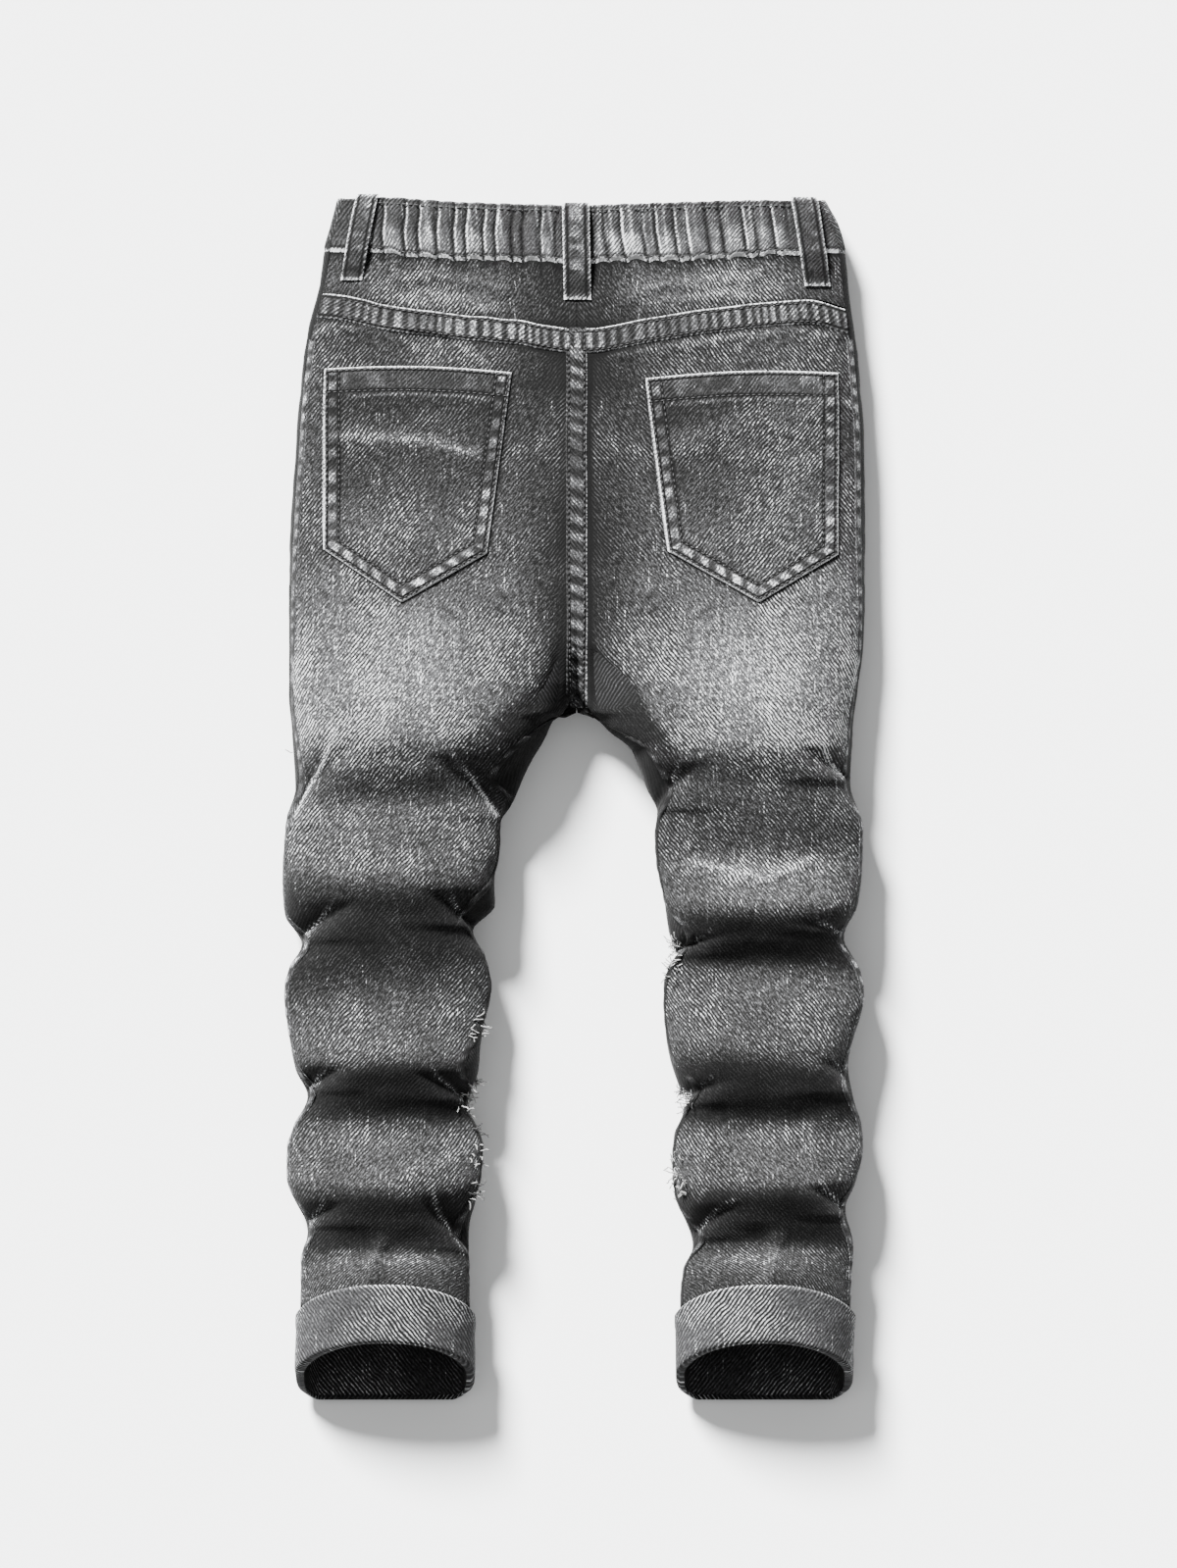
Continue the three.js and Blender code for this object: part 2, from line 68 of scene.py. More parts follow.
# The front waist lies on its loops and button.
FRONT_LIFT, FRONT_LIFT_FROM, FRONT_LIFT_TO = 4.0, 130.0, 215.0
WAISTBAND_OUT = 1.0  # the waistband stands this far out of the yoke
WAISTBAND_IN = 1.6
YOKE_WELT = 12.4  # depth of the fell below the yoke
CENTRE_WELT = 10.6  # width of the fell over the centre seam
SEAM_CALM = 0.42  # pressed and stitched layers show less of the weave
INNER_MARKS_SHARE = 0.35  # the inside of a leg takes this share of the outside's marks, which paints shade into it


def mix(a, b, t):
    return a + (b - a) * t


def rise(x, low, high):
    """0 below low, 1 above high and smooth between."""
    t = np.clip((np.asarray(x, float) - low) / (high - low), 0, 1)
    return t * t * (3 - 2 * t)


def bell(x, width):
    return np.exp(-((x / width) ** 2))


def rounded(t):
    """A quarter circle that falls from 1 at 0 to 0 at 1."""
    return np.sqrt(1 - np.clip(t, 0, 1) ** 2)


def unit(v):
    return v / np.maximum(np.linalg.norm(v, axis=-1, keepdims=True), 1e-9)


def raised(points, normals, height):
    """Points moved out along their normals by a height, one for all or one for each."""
    return points + normals * np.asarray(height)[..., None]


def downward(start, end, count):
    """Even values down the rows of a grid."""
    return np.linspace(start, end, count)[:, None]


def sideways(start, end, count):
    """Even values across the columns of a grid."""
    return np.linspace(start, end, count)[None, :]


def vectors(*values):
    return np.stack(np.broadcast_arrays(*[np.asarray(v, float) for v in values]), -1)


def line_lengths(line):
    """Distance along a line of points, from its first."""
    return np.concatenate([[0], np.cumsum(np.linalg.norm(np.diff(line, axis=0), axis=1))])


def row_lengths(points):
    """Distance along each row of a grid of points, from its first."""
    steps = np.linalg.norm(np.diff(points, axis=1), axis=2)
    return np.concatenate([np.zeros((len(points), 1)), np.cumsum(steps, axis=1)], axis=1)


def curve(points):
    """A smooth curve through (place, value) points that never swings past them."""
    known = np.array(sorted(points), float)
    xs, ys = known[:, 0], known[:, 1]
    steps = np.diff(ys) / np.diff(xs)
    slopes = np.zeros(len(xs))
    before, after = steps[:-1], steps[1:]
    same = before * after > 0
    slopes[1:-1][same] = 2 * before[same] * after[same] / (before[same] + after[same])

    def value(place):
        place = np.clip(np.asarray(place, float), xs[0], xs[-1])
        i = np.clip(np.searchsorted(xs, place, side="right") - 1, 0, len(xs) - 2)
        span = xs[i + 1] - xs[i]
        t = (place - xs[i]) / span
        bend = t * t * (3 - 2 * t)
        pull = span * slopes[i] * t * (1 - t) ** 2 - span * slopes[i + 1] * t * t * (1 - t)
        return mix(ys[i], ys[i + 1], bend) + pull

    return value


class Half:
    """One half of the jeans: its outline from above, its height, and the sharp edges of its buckled folds.
    Outlines and heights are (Y, value) points. Each crease runs down from inside the leg to where it meets
    the outline. Along the line X = grain, the grain of the cloth runs straight down the leg."""

    def __init__(self, side, grain, outer, inner, height, outer_creases, inner_creases, inseam):
        self.side, self.grain = side, grain
        self.outer, self.inner, self.height = curve(outer), curve(inner), curve(height)
        self.outer_creases = [(c[0][0], c[-1][0], curve(c)) for c in outer_creases]
        self.inner_creases = [(c[0][0], c[-1][0], curve(c)) for c in inner_creases]
        self.inseam = curve(inseam)
        # Top and foot of the dome of painted shade below each pair of creases.
        pairs = zip(self.outer_creases[1:], self.inner_creases[1:])
        self.domes = [(top, (low + other) / 2) for (top, low, _), (_, other, _) in pairs]


LEFT = Half(
    side=-1, grain=-93.0,
    outer=[
        (307, -120), (290, -123.5), (278, -127), (260, -130), (236, -136), (190, -141),
        (105, -145.5), (50, -145.5), (27, -143.5), (3, -142), (-12, -146.5), (-43, -148.5),
        (-60, -147.5), (-76, -139), (-88, -145.5), (-100, -147.5), (-130, -144), (-140, -142),
        (-153, -136), (-168, -142.5), (-180, -146.2), (-194, -146.5), (-222, -136), (-236, -139),
        (-300, -139.5),
    ],
    inner=[
        (CROTCH_Y, 0), (39.5, -9.5), (29.5, -15), (14, -24), (-4, -32), (-14, -38), (-28, -38.5),
        (-43, -41), (-56, -40.5), (-69, -52), (-82, -46), (-98, -42.8), (-111, -45), (-126, -48),
        (-140, -49), (-158, -55), (-170, -49.5), (-179, -47), (-194, -48), (-224, -54),
        (-300, -53.5),
    ],
    height=[
        (307, 27), (272, 28), (235, 30), (150, 34), (90, 38), (33, 47), (15, 42), (-5, 35),
        (-25, 39), (-44, 45), (-62, 40), (-98, 31), (-120, 37), (-137, 44), (-150, 39), (-167, 32),
        (-185, 38), (-201, 44), (-216, 38), (-234, 32), (-250, 38), (-265, 42), (-300, 43),
    ],
    outer_creases=[
        [(36, -122.5), (13, -130), (0, -138), (-19, -146.5)],
        [(-50, -122.5), (-60, -127), (-76, -139)],
        [(-134, -124.5), (-143, -130), (-153, -136)],
        [(-204, -127.5), (-222, -136)],
    ],
    inner_creases=[
        [(25, -62), (10, -53), (0, -46.5), (-14, -38)],
        [(-44, -64.5), (-61, -57.5), (-69, -52)],
        [(-137, -73), (-149, -62.5), (-158, -55)],
        [(-194, -73), (-212, -69), (-224, -61), (-236, -54)],
    ],
    inseam=[
        (CROTCH_Y, 0), (34, 26), (9.5, 44), (-6, 8), (-36, 4), (-60, 44), (-73, 8), (-98, 4),
        (-117, 14), (-140, 37), (-153, 8), (-190, 4), (-224, 32), (-238, 8),
    ],
)

RIGHT = Half(
    side=1, grain=95.0,
    outer=[
        (305, 127), (290, 133.5), (278, 137), (250, 140.5), (223, 144), (168, 147.5), (105, 147.7),
        (77, 147), (54, 144), (32, 141.5), (5, 140), (-16, 146.5), (-38, 146), (-55, 144),
        (-72, 137), (-90, 145.5), (-102, 147), (-111, 145.5), (-126, 141), (-137, 139), (-155, 142),
        (-167, 145.5), (-179, 146.5), (-198, 142.5), (-210, 137.5), (-229, 141.8), (-247, 140.5),
        (-300, 139),
    ],
    inner=[
        (CROTCH_Y, 0), (41, 8), (32, 18), (24, 28.5), (13, 33), (2, 37.5), (-8, 42), (-20, 41),
        (-35, 42), (-47, 44.5), (-70, 48), (-80, 50.5), (-94, 46), (-104, 45.5), (-126, 47),
        (-136, 49), (-160, 55.5), (-173, 51), (-183, 50), (-202, 51), (-229, 60), (-243, 55.5),
        (-256, 54), (-300, 54),
    ],
    height=[
        (307, 27), (272, 28), (235, 30), (150, 34), (90, 38), (28, 47), (5, 40), (-29, 33),
        (-44, 39), (-58, 45), (-72, 39), (-88, 31), (-112, 38), (-133, 44), (-150, 39), (-168, 31),
        (-186, 38), (-200, 44), (-215, 38), (-231, 32), (-248, 38), (-265, 42), (-300, 43),
    ],
    outer_creases=[
        [(28, 126), (17, 129.5), (5, 140)],
        [(-62, 122.5), (-67, 130.5), (-72, 137)],
        [(-131, 131), (-142, 137), (-155, 142)],
        [(-194, 125), (-206, 133), (-217, 139.5)],
    ],
    inner_creases=[
        [(20, 53.5), (10, 50), (-1, 44.5), (-10, 41.8)],
        [(-68, 69.5), (-75, 58.5), (-84, 50)],
        [(-142, 70), (-149, 61.5), (-160, 55.5)],
        [(-204, 83), (-210, 72.5), (-218, 65.5), (-229, 60)],
    ],
    inseam=[
        (CROTCH_Y, 0), (30, 26), (4, 40), (-14, 8), (-48, 4), (-72, 40), (-88, 8), (-112, 4),
        (-134, 16), (-149, 37), (-164, 8), (-200, 4), (-225, 30), (-240, 8),
    ],
)

side_level = curve([(307, 14), (270, 13), (220, 10), (150, 9), (90, 12), (43, 17), (0, 20), (-300, 21)])
outseam_degrees = curve([
    (307, 12), (200, 12), (40, 14), (10, 20), (-20, 8), (-60, 8), (-74, 20), (-100, 8), (-130, 10),
    (-148, 22), (-170, 8), (-200, 12), (-220, 20), (-240, 8),
])
# The worn upper edge of the yoke seam and the lower edge of the waistband, by X.
yoke_seam = curve([
    (-131, 255.5), (-96, 249.5), (-60, 244.5), (-28, 241.5), (0, 237.5), (8, 237.5), (35, 242),
    (73, 248), (120, 252), (142, 247),
])
waist_seam = curve([(-128, 277), (-60, 271.5), (0, 270.5), (60, 271.5), (138, 276)])
waist_top = curve([(-122, 304), (-105, 304.5), (-60, 302), (0, 300.5), (60, 302), (105, 303), (128, 303)])


def front_lift(y):
    return FRONT_LIFT * rise(y, FRONT_LIFT_FROM, FRONT_LIFT_TO) + CUFF_LIFT * (1 - rise(y, IN_CUFF_Y, -238))


def section_turn(y):
    """How far a section turns from the side: a quarter turn across the seat, half a turn round a leg."""
    return math.pi * mix(1, 0.5, rise(y, CROTCH_Y, SEAT_ROUND_Y) ** 0.6)


def arch(share, power, flatness):
    return np.maximum(0, 1 - np.abs(share) ** power) ** flatness


def soft_max(a, b, blend):
    h = np.clip(0.5 + 0.5 * (a - b) / blend, 0, 1)
    return mix(b, a, h) + blend * h * (1 - h) * 0.5


def inner_edge(half_, y):
    """The inner outline below the crotch, and the centre above it."""
    return np.where(y > CROTCH_Y, CENTRE_X, mix(half_.inner(y), CENTRE_X, rise(y, CROTCH_Y - 4, CROTCH_Y)))


def section(half_, y):
    """The middle, half width and full turn of the section at y."""
    full = section_turn(y)
    outer = half_.outer(y)
    half_width = np.abs(outer - inner_edge(half_, y)) / (1 - np.cos(full))
    return outer - half_.side * half_width, half_width, full


def eased_arch(half_, y, x, share, flatness):
    """The arch of a section where the seat parts into the legs, eased over 30 mm so that it has no ledge."""
    inner = sum(inner_edge(half_, y + step) for step in np.linspace(-15, 15, 9)) / 9
    half_width = np.abs(half_.outer(y) - inner) / (1 - np.cos(section_turn(y)))
    eased = (x - half_.outer(y) + half_.side * half_width) / half_width
    return arch(np.clip(eased, -1, 1), ARCH_POWER, flatness) * arch(share, 9, flatness)


def top_share(half_, y, x, share, middle):
    """Height share of the top. Beyond a crease, only what is left of the fold above it stands."""
    flatness = mix(LEG_FLATNESS, SEAT_FLATNESS, rise(y, CROTCH_Y, SEAT_ROUND_Y))
    flatness = mix(flatness, CUFF_FLATNESS, 1 - rise(y, IN_CUFF_Y, -225))
    near_crotch = rise(y, -5, 22) * (1 - rise(y, 62, 92))
    eased = eased_arch(half_, y, x, share, flatness)
    whole = mix(arch(share, ARCH_POWER, flatness), eased, near_crotch)
    result = whole.copy()
    outside = (x - middle) * half_.side > 0
    for creases, there in ((half_.outer_creases, outside), (half_.inner_creases, ~outside)):
        for top, join, line in creases:
            held = there & (y <= top) & (y >= join)
            left = np.sin(np.clip((y - join) / (top - join), 0, 1) * math.pi / 2)
            inside = arch((x - middle) / (line(y) - middle), 3.5, flatness)
            begun = rise(-y, -top, -top + 7) * rise(y, join, join + 4)
            result = np.where(held, mix(whole, soft_max(inside, whole * left, 0.05), begun), result)
    return result


def shape(half_, y, turn):
    """Points of the shared outer shape, in an array with X, Y, Z last. turn is 0 at the outer side, grows
    over the top towards the centre or inseam, and is negative underneath."""
    y, turn = np.broadcast_arrays(np.asarray(y, float), np.asarray(turn, float))
    middle, half_width, _ = section(half_, y)
    share = np.cos(turn)
    x = middle + half_.side * half_width * share
    side, lift = side_level(y), front_lift(y)
    above = mix(side, half_.height(y), top_share(half_, y, x, share, middle))
    below = np.maximum(lift, side - (side - lift) * 1.3 * np.sqrt(np.maximum(0, -np.sin(turn))))
    z = np.where(np.sin(turn) >= 0, above, below)
    lean = CUFF_LEAN * (1 - rise(y, IN_CUFF_Y, -215))
    return np.stack([x, y + lean * (z - SIDE_HEIGHT) / CUFF_HEIGHT, z], -1)


# -------------------------------------------------------------------------------------------- grids


def noise(x, y, cell, seed):
    """Smooth random values from -1 to 1, in bumps about one cell wide."""
    size = 97
    table = np.random.RandomState(seed).uniform(-1, 1, (size, size))
    x, y = np.asarray(x, float) / cell + 1000, np.asarray(y, float) / cell + 1000
    ix, iy = np.floor(x).astype(int), np.floor(y).astype(int)
    tx, ty = x - ix, y - iy
    tx, ty = tx * tx * (3 - 2 * tx), ty * ty * (3 - 2 * ty)
    low = mix(table[ix % size, iy % size], table[(ix + 1) % size, iy % size], tx)
    high = mix(table[ix % size, (iy + 1) % size], table[(ix + 1) % size, (iy + 1) % size], tx)
    return mix(low, high, ty)


def even_turns(half_, ys, start, end, count):
    """Turns that divide each row's section evenly along the cloth."""
    t = mix(start[:, None], end[:, None], sideways(0, 1, 500))
    run = row_lengths(shape(half_, ys[:, None], t))
    return np.array([np.interp(np.linspace(0, r[-1], count), r, row) for r, row in zip(run, t)])


def lengths_from(points, reference):
    """Distance along each row of a grid from where the row passes X = reference."""
    run, zero = row_lengths(points), []
    for r, x in zip(run, points[:, :, 0]):
        near = int(np.clip(np.argmin(np.abs(x - reference)), 1, len(x) - 2))
        slope = (r[near + 1] - r[near - 1]) / (x[near + 1] - x[near - 1])
        zero.append(r[near] + (reference - x[near]) * slope)
    return run - np.array(zero)[:, None]


def half_of(x):
    return LEFT if x < CENTRE_X else RIGHT


def turn_at(half_, x, y):
    """The turn at which the top of a half has this X."""
    middle, half_width, _ = section(half_, y)
    return np.arccos(np.clip((x - middle) / (half_.side * half_width), -1, 1))


def top_points(x, y):
    """Points of the upper surface over X and Y, on whichever half each lies."""
    x, y = np.broadcast_arrays(np.asarray(x, float), np.asarray(y, float))
    left = shape(LEFT, y, turn_at(LEFT, x, y))
    right = shape(RIGHT, y, turn_at(RIGHT, x, y))
    return np.where((x < CENTRE_X)[..., None], left, right)


def top_normals(x, y):
    step = 0.8
    across = top_points(x + step, y) - top_points(x - step, y)
    along = top_points(x, y + step) - top_points(x, y - step)
    return unit(np.cross(across, along))


# ------------------------------------------------------------------------------------------- meshes


def add_mesh(name, points, quads, materials, marks=None, face_slots=None, sharp_degrees=None):
    """A mesh object from points in millimetres and four-cornered faces. marks are values for its materials."""
    mesh = bpy.data.meshes.new(name)
    mesh.vertices.add(len(points))
    mesh.vertices.foreach_set("co", (points * MM).astype(np.float32).ravel())
    mesh.loops.add(quads.size)
    mesh.loops.foreach_set("vertex_index", quads.astype(np.int32).ravel())
    mesh.polygons.add(len(quads))
    mesh.polygons.foreach_set("loop_start", np.arange(0, quads.size, 4, dtype=np.int32))
    mesh.polygons.foreach_set("use_smooth", np.ones(len(quads), bool))
    for material in materials:
        mesh.materials.append(material)
    if face_slots is not None:
        mesh.polygons.foreach_set("material_index", face_slots.astype(np.int32))
    for mark, values in (marks or {}).items():
        attribute = mesh.attributes.new(mark, "FLOAT_VECTOR", "POINT")
        attribute.data.foreach_set("vector", values.astype(np.float32).ravel())
    mesh.update(calc_edges=True)
    mesh.validate()
    if sharp_degrees:
        mesh.set_sharp_from_angle(angle=math.radians(sharp_degrees))
    piece = bpy.data.objects.new(name, mesh)
    bpy.context.scene.collection.objects.link(piece)
    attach(piece, "root")
    return piece


def shell_quads(rows, columns, torn=None, tube=False):
    """Faces of a wall between two grids, with a narrow wall along every free edge, and which layer each
    face is of: 0 the face of the cloth, 1 its back, 2 an edge."""
    cells = columns if tube else columns - 1
    row, column = np.meshgrid(np.arange(rows - 1), np.arange(cells), indexing="ij")
    whole = np.ones((rows - 1, cells), bool) if torn is None else ~torn
    count = rows * columns

    def point(r, c):
        return r * columns + c % columns

    corners = np.stack(
        [point(row, column), point(row, column + 1), point(row + 1, column + 1), point(row + 1, column)], -1
    )
    face = corners[whole]
    back = face[:, ::-1] + count
    edges = []
    padded = np.zeros((rows + 1, cells + 2), bool)
    padded[1:-1, 1:-1] = whole
    if tube:
        padded[1:-1, 0], padded[1:-1, -1] = whole[:, -1], whole[:, 0]
    neighbours = (
        (padded[:-2, 1:-1], 0, 1), (padded[2:, 1:-1], 2, 3),
        (padded[1:-1, :-2], 3, 0), (padded[1:-1, 2:], 1, 2),
    )
    for there, first, second in neighbours:
        free = corners[whole & ~there]
        a, b = free[:, first], free[:, second]
        edges.append(np.stack([a, a + count, b + count, b], -1))
    edge = np.concatenate(edges)
    layer = np.concatenate([np.zeros(len(face)), np.ones(len(back)), np.full(len(edge), 2)]).astype(int)
    return np.concatenate([face, back, edge]), layer


def outward_quads(points, quads):
    """The faces turned so that the body's volume is positive."""
    a, b, c, d = (points[quads[:, i]] for i in range(4))
    volume = np.sum(a * np.cross(b, c)) + np.sum(a * np.cross(c, d))
    return quads if volume > 0 else quads[:, ::-1]


def cloth_piece(
    name, face, back, cloth, wash_light_and_shade, materials, torn=None, tube=False, sharp_degrees=55, inner_marks_share=1.0
):
    """A wall of cloth between two grids. cloth is the place in the weave in millimetres, across and along,
    and how much calmer than a panel's the grain is there. wash_light_and_shade holds how faded, how rubbed and
    how dark each point is, painted light and shade included, and inner_marks_share is how much of that the
    back of the wall takes."""
    rows, columns = face.shape[:2]
    quads, layer = shell_quads(rows, columns, torn, tube)
    points = np.concatenate([face.reshape(-1, 3), back.reshape(-1, 3)])
    used, place = np.unique(quads, return_inverse=True)
    quads = place.reshape(quads.shape)
    points = points[used]
    washed_lit_and_shaded = np.concatenate([wash_light_and_shade.reshape(-1, 3), wash_light_and_shade.reshape(-1, 3) * inner_marks_share])
    marks = {"cloth": np.tile(cloth.reshape(-1, 3), (2, 1))[used], "wash_light_and_shade": washed_lit_and_shaded[used]}
    slots = np.where(layer == 1, min(1, len(materials) - 1), 0)
    return add_mesh(name, points, outward_quads(points, quads), materials, marks, slots, sharp_degrees)


def along_line(x, y, line):
    """For each point, its distance from a line seen from above, and how far along the line it is."""
    best, run, start = np.full(np.shape(x), 1e9), np.zeros(np.shape(x)), 0.0
    for (x0, y0), (x1, y1) in zip(line, line[1:]):
        dx, dy = x1 - x0, y1 - y0
        length = math.hypot(dx, dy)
        t = np.clip(((x - x0) * dx + (y - y0) * dy) / length**2, 0, 1)
        away = np.hypot(x - x0 - t * dx, y - y0 - t * dy)
        run = np.where(away < best, start + t * length, run)
        best = np.minimum(best, away)
        start += length
    return best, run


def distance_to_line(x, y, line):
    return along_line(x, y, line)[0]


def blob(x, y, cx, cy, wide, tall):
    return np.exp(-(((x - cx) / wide) ** 2) - ((y - cy) / tall) ** 2)


# ---------------------------------------------------------------------------------------- materials


def srgb(code):
    """A colour as the eye is used to writing it, turned to linear light."""
    parts = [int(code[i : i + 2], 16) / 255 for i in (1, 3, 5)]
    return tuple(p / 12.92 if p <= 0.04045 else ((p + 0.055) / 1.055) ** 2.4 for p in parts) + (1.0,)


def new_material(name):
    material = bpy.data.materials.new(name)
    material.use_nodes = True
    material.node_tree.nodes.clear()
    return material, material.node_tree


def node(tree, kind, settings=None, **links):
    """Adds a node. settings are its properties, and links set its inputs, by name or by _number: a value is
    stored and a socket is linked."""
    made = tree.nodes.new("ShaderNode" + kind)
    for key, value in (settings or {}).items():
        setattr(made, key, value)
    for key, value in links.items():
        numbered = key[0] == "_" and key[1:].isdigit()
        socket = made.inputs[int(key[1:]) if numbered else key.replace("_", " ")]
        if isinstance(value, Number):
            tree.links.new(value.socket, socket)
        elif isinstance(value, bpy.types.NodeSocket):
            tree.links.new(value, socket)
        else:
            socket.default_value = value
    return made


class Number:
    """A number that passes between nodes. Arithmetic with it adds the nodes that work it out."""

    def __init__(self, tree, socket):
        self.tree, self.socket = tree, socket

    def maths(self, operation, other=0.0):
        made = node(self.tree, "Math", {"operation": operation}, _0=self, _1=other)
        return Number(self.tree, made.outputs[0])

    def __add__(self, other):
        return self.maths("ADD", other)

    def __sub__(self, other):
        return self.maths("SUBTRACT", other)

    def __mul__(self, other):
        return self.maths("MULTIPLY", other)

    def spread(self, low, high):
        """Stretches the stretch from low to high over 0 to 1."""
        made = node(self.tree, "MapRange", {"clamp": True}, Value=self, _1=low, _2=high, _3=0.0, _4=1.0)
        return Number(self.tree, made.outputs[0])


def noise_at(tree, place, scale, detail, rough=0.6):
    """Noise from 0 to 1 at a place in the weave. scale is (across, along) in bumps per millimetre."""
    moved = node(tree, "Mapping", None, Vector=place, Scale=(scale[0], scale[1], 1.0)).outputs[0]
    flat = {"noise_dimensions": "2D"}
    made = node(tree, "TexNoise", flat, Vector=moved, Scale=1.0, Detail=detail, Roughness=rough)
    return Number(tree, made.outputs["Fac"])


def solid_noise(tree, scale, **settings):
    """Noise from 0 to 1 at a place on the object, in bumps per metre."""
    place = node(tree, "TexCoord").outputs["Object"]
    made = node(tree, "TexNoise", None, Vector=place, Scale=scale, **settings)
    return Number(tree, made.outputs["Fac"])


def attribute(tree, name):
    """The three numbers stored under a name at each point, and the vector that they make."""
    vector = node(tree, "Attribute", {"attribute_name": name}).outputs["Vector"]
    parts = node(tree, "SeparateXYZ", None, Vector=vector).outputs
    return [Number(tree, part) for part in parts], vector


def finish_material(tree, colour, rough, bump, **more):
    shader = node(
        tree, "BsdfPrincipled", None, Base_Color=colour, Roughness=rough, Normal=bump.outputs[0], **more
    )
    node(tree, "OutputMaterial", None, Surface=shader.outputs[0])


def ramp_between(tree, value, *tones):
    """The colour at a value, over evenly spaced tones."""
    ramp = node(tree, "ValToRGB", None, Fac=value)
    stops = ramp.color_ramp.elements
    stops[0].position, stops[0].color = 0.0, srgb(tones[0])
    stops[1].position, stops[1].color = 1.0, srgb(tones[-1])
    for i, tone in enumerate(tones[1:-1]):
        stops.new((i + 1) / (len(tones) - 1)).color = srgb(tone)
    return ramp.outputs["Color"]


# A rib of this twill comes every 1.6 mm and climbs at 50 degrees. Along it, the yarns come up in runs of a
# few millimetres.
TWILL_RIB = 1.6
TWILL_CLIMB = math.radians(50)
RIB_RUN = (1 / 0.78, 1 / 3.4)
# Slubs, the thicker stretches of warp yarn, are under 1 mm wide and 10 to 20 mm long.
SLUB = (1 / 0.9, 1 / 17)
# Stone washing takes the dye off in specks the size of a few yarns.
SPECK = (1 / 0.85, 1 / 1.0)
LEAST_FADE = 0.12  # even the darkest cloth shows its weave


def denim_material(name, tones, lean, grain, rib_share, rough, pitch=TWILL_RIB):
    """Twill-woven cotton. lean is 1 where the ribs rise to the right and -1 where they rise to the left.
    The yarns give it a salt-and-pepper look, because washing bares the white core of a dyed warp yarn on
    its crowns first."""
    material, tree = new_material(name)
    # The wash marks hold the cloth's fade, wear and dark lines, and also painted light, painted highlights and
    # painted shade.
    (fade_light_and_shade, rubbed_and_highlit, deep), _ = attribute(tree, "wash_light_and_shade")
    (across, along, calm), cloth = attribute(tree, "cloth")
    sine, cosine = math.sin(TWILL_CLIMB), math.cos(TWILL_CLIMB)
    wander = noise_at(tree, cloth, (1 / 11, 1 / 11), 1.0) * 2.0 - 1.0
    over_ribs = across * (-lean * sine) + along * cosine + wander
    up_ribs = across * (lean * cosine) + along * sine
    ribbed_place = node(tree, "CombineXYZ", None, X=over_ribs, Y=up_ribs).outputs[0]
    rib = (over_ribs * (2 * math.pi / pitch)).maths("SINE")
    runs = noise_at(tree, ribbed_place, RIB_RUN, 1.0).spread(0.34, 0.66)
    speck = noise_at(tree, cloth, SPECK, 1.0).spread(0.33, 0.67)
    slub = noise_at(tree, cloth, SLUB, 1.0, 0.5).spread(0.66, 0.8)
    crisp = noise_at(tree, cloth, (1 / 40, 1 / 40), 1.0).spread(0.38, 0.62)
    cloud = noise_at(tree, cloth, (1 / 14, 1 / 17), 3.0)
    level = ((cloud - 0.5) * 0.14 + fade_light_and_shade).maths("MAXIMUM", LEAST_FADE)
    level = level + rubbed_and_highlit * (speck * 0.35 + 0.5) - deep * 0.5
    # The darkest cloth is plainest, and well-worn cloth is a little plainer than half-faded cloth.
    lively = (level * 5.0).maths("MINIMUM", 1.05).maths("MAXIMUM", 0.1) * (level * -0.25 + 1.1)
    lively = lively * (calm * -1.0 + 1.0)
    salt = (speck - 0.5) * 0.8 + (runs - 0.6)
    ribs = rib * (crisp * 0.7 + 0.3) * rib_share
    streaks = slub * (speck + 0.4) * 0.3
    level = level + (salt * grain + ribs + streaks) * lively
    bump = node(tree, "Bump", None, Strength=0.35, Distance=0.0003, Height=rib * 0.35 + speck * 0.6)
    sheen = {"Sheen_Weight": 0.03, "Sheen_Roughness": 0.5, "Specular_IOR_Level": 0.12}
    finish_material(tree, ramp_between(tree, level, *tones), rough, bump, **sheen)
    return material


def yarn_material(name, dark, pale, rough):
    """Spun cotton thread. Its twist reads as a fine light and dark change along it."""
    material, tree = new_material(name)
    twist = solid_noise(tree, 900.0, Detail=2.0, Roughness=0.6)
    bump = node(tree, "Bump", None, Strength=0.3, Distance=0.0001, Height=twist)
    finish_material(tree, ramp_between(tree, twist.spread(0.3, 0.7), dark, pale), rough, bump)
    return material


def blackened_brass():
    """Cast brass, blackened and tumbled: dark with the bare metal showing where fingers rub it."""
    material, tree = new_material("blackened_brass")
    rub = solid_noise(tree, 420.0, Detail=5.0, Roughness=0.65)
    colour = ramp_between(tree, rub.spread(0.35, 0.75), "#24211f", "#7a7368")
    bump = node(tree, "Bump", None, Strength=0.25, Distance=0.0002, Height=rub)
    finish_material(tree, colour, rub * 0.3 + 0.25, bump, Metallic=0.9)
    return material


def studio_paper():
    """Matte white card, with the faintest tooth."""
    material, tree = new_material("studio_paper")
    tooth = solid_noise(tree, 700.0, Detail=3.0)
    bump = node(tree, "Bump", None, Strength=0.04, Distance=0.0003, Height=tooth)
    finish_material(tree, srgb("#f7f8f8"), 0.95, bump, Specular_IOR_Level=0.1)
    return material


washed_denim = denim_material(
    "washed_denim", ["#040404", "#111111", "#212121", "#343435", "#535455", "#b4b5b6"],
    lean=1, grain=0.38, rib_share=0.34, rough=0.92,
)
denim_wrong_side = denim_material(
    "denim_wrong_side", ["#090909", "#181818", "#262627", "#39393a", "#58595a", "#acadae"],
    lean=-1, grain=0.24, rib_share=0.5, rough=0.95, pitch=1.75,
)
seam_thread = yarn_material("seam_thread", "#0b0b0b", "#262627", 0.8)
bare_weft = yarn_material("bare_weft", "#5a5a5a", "#a4a4a3", 0.9)
broken_warp = yarn_material("broken_warp", "#101011", "#454545", 0.9)


# --------------------------------------------------------------------------------- camera and light

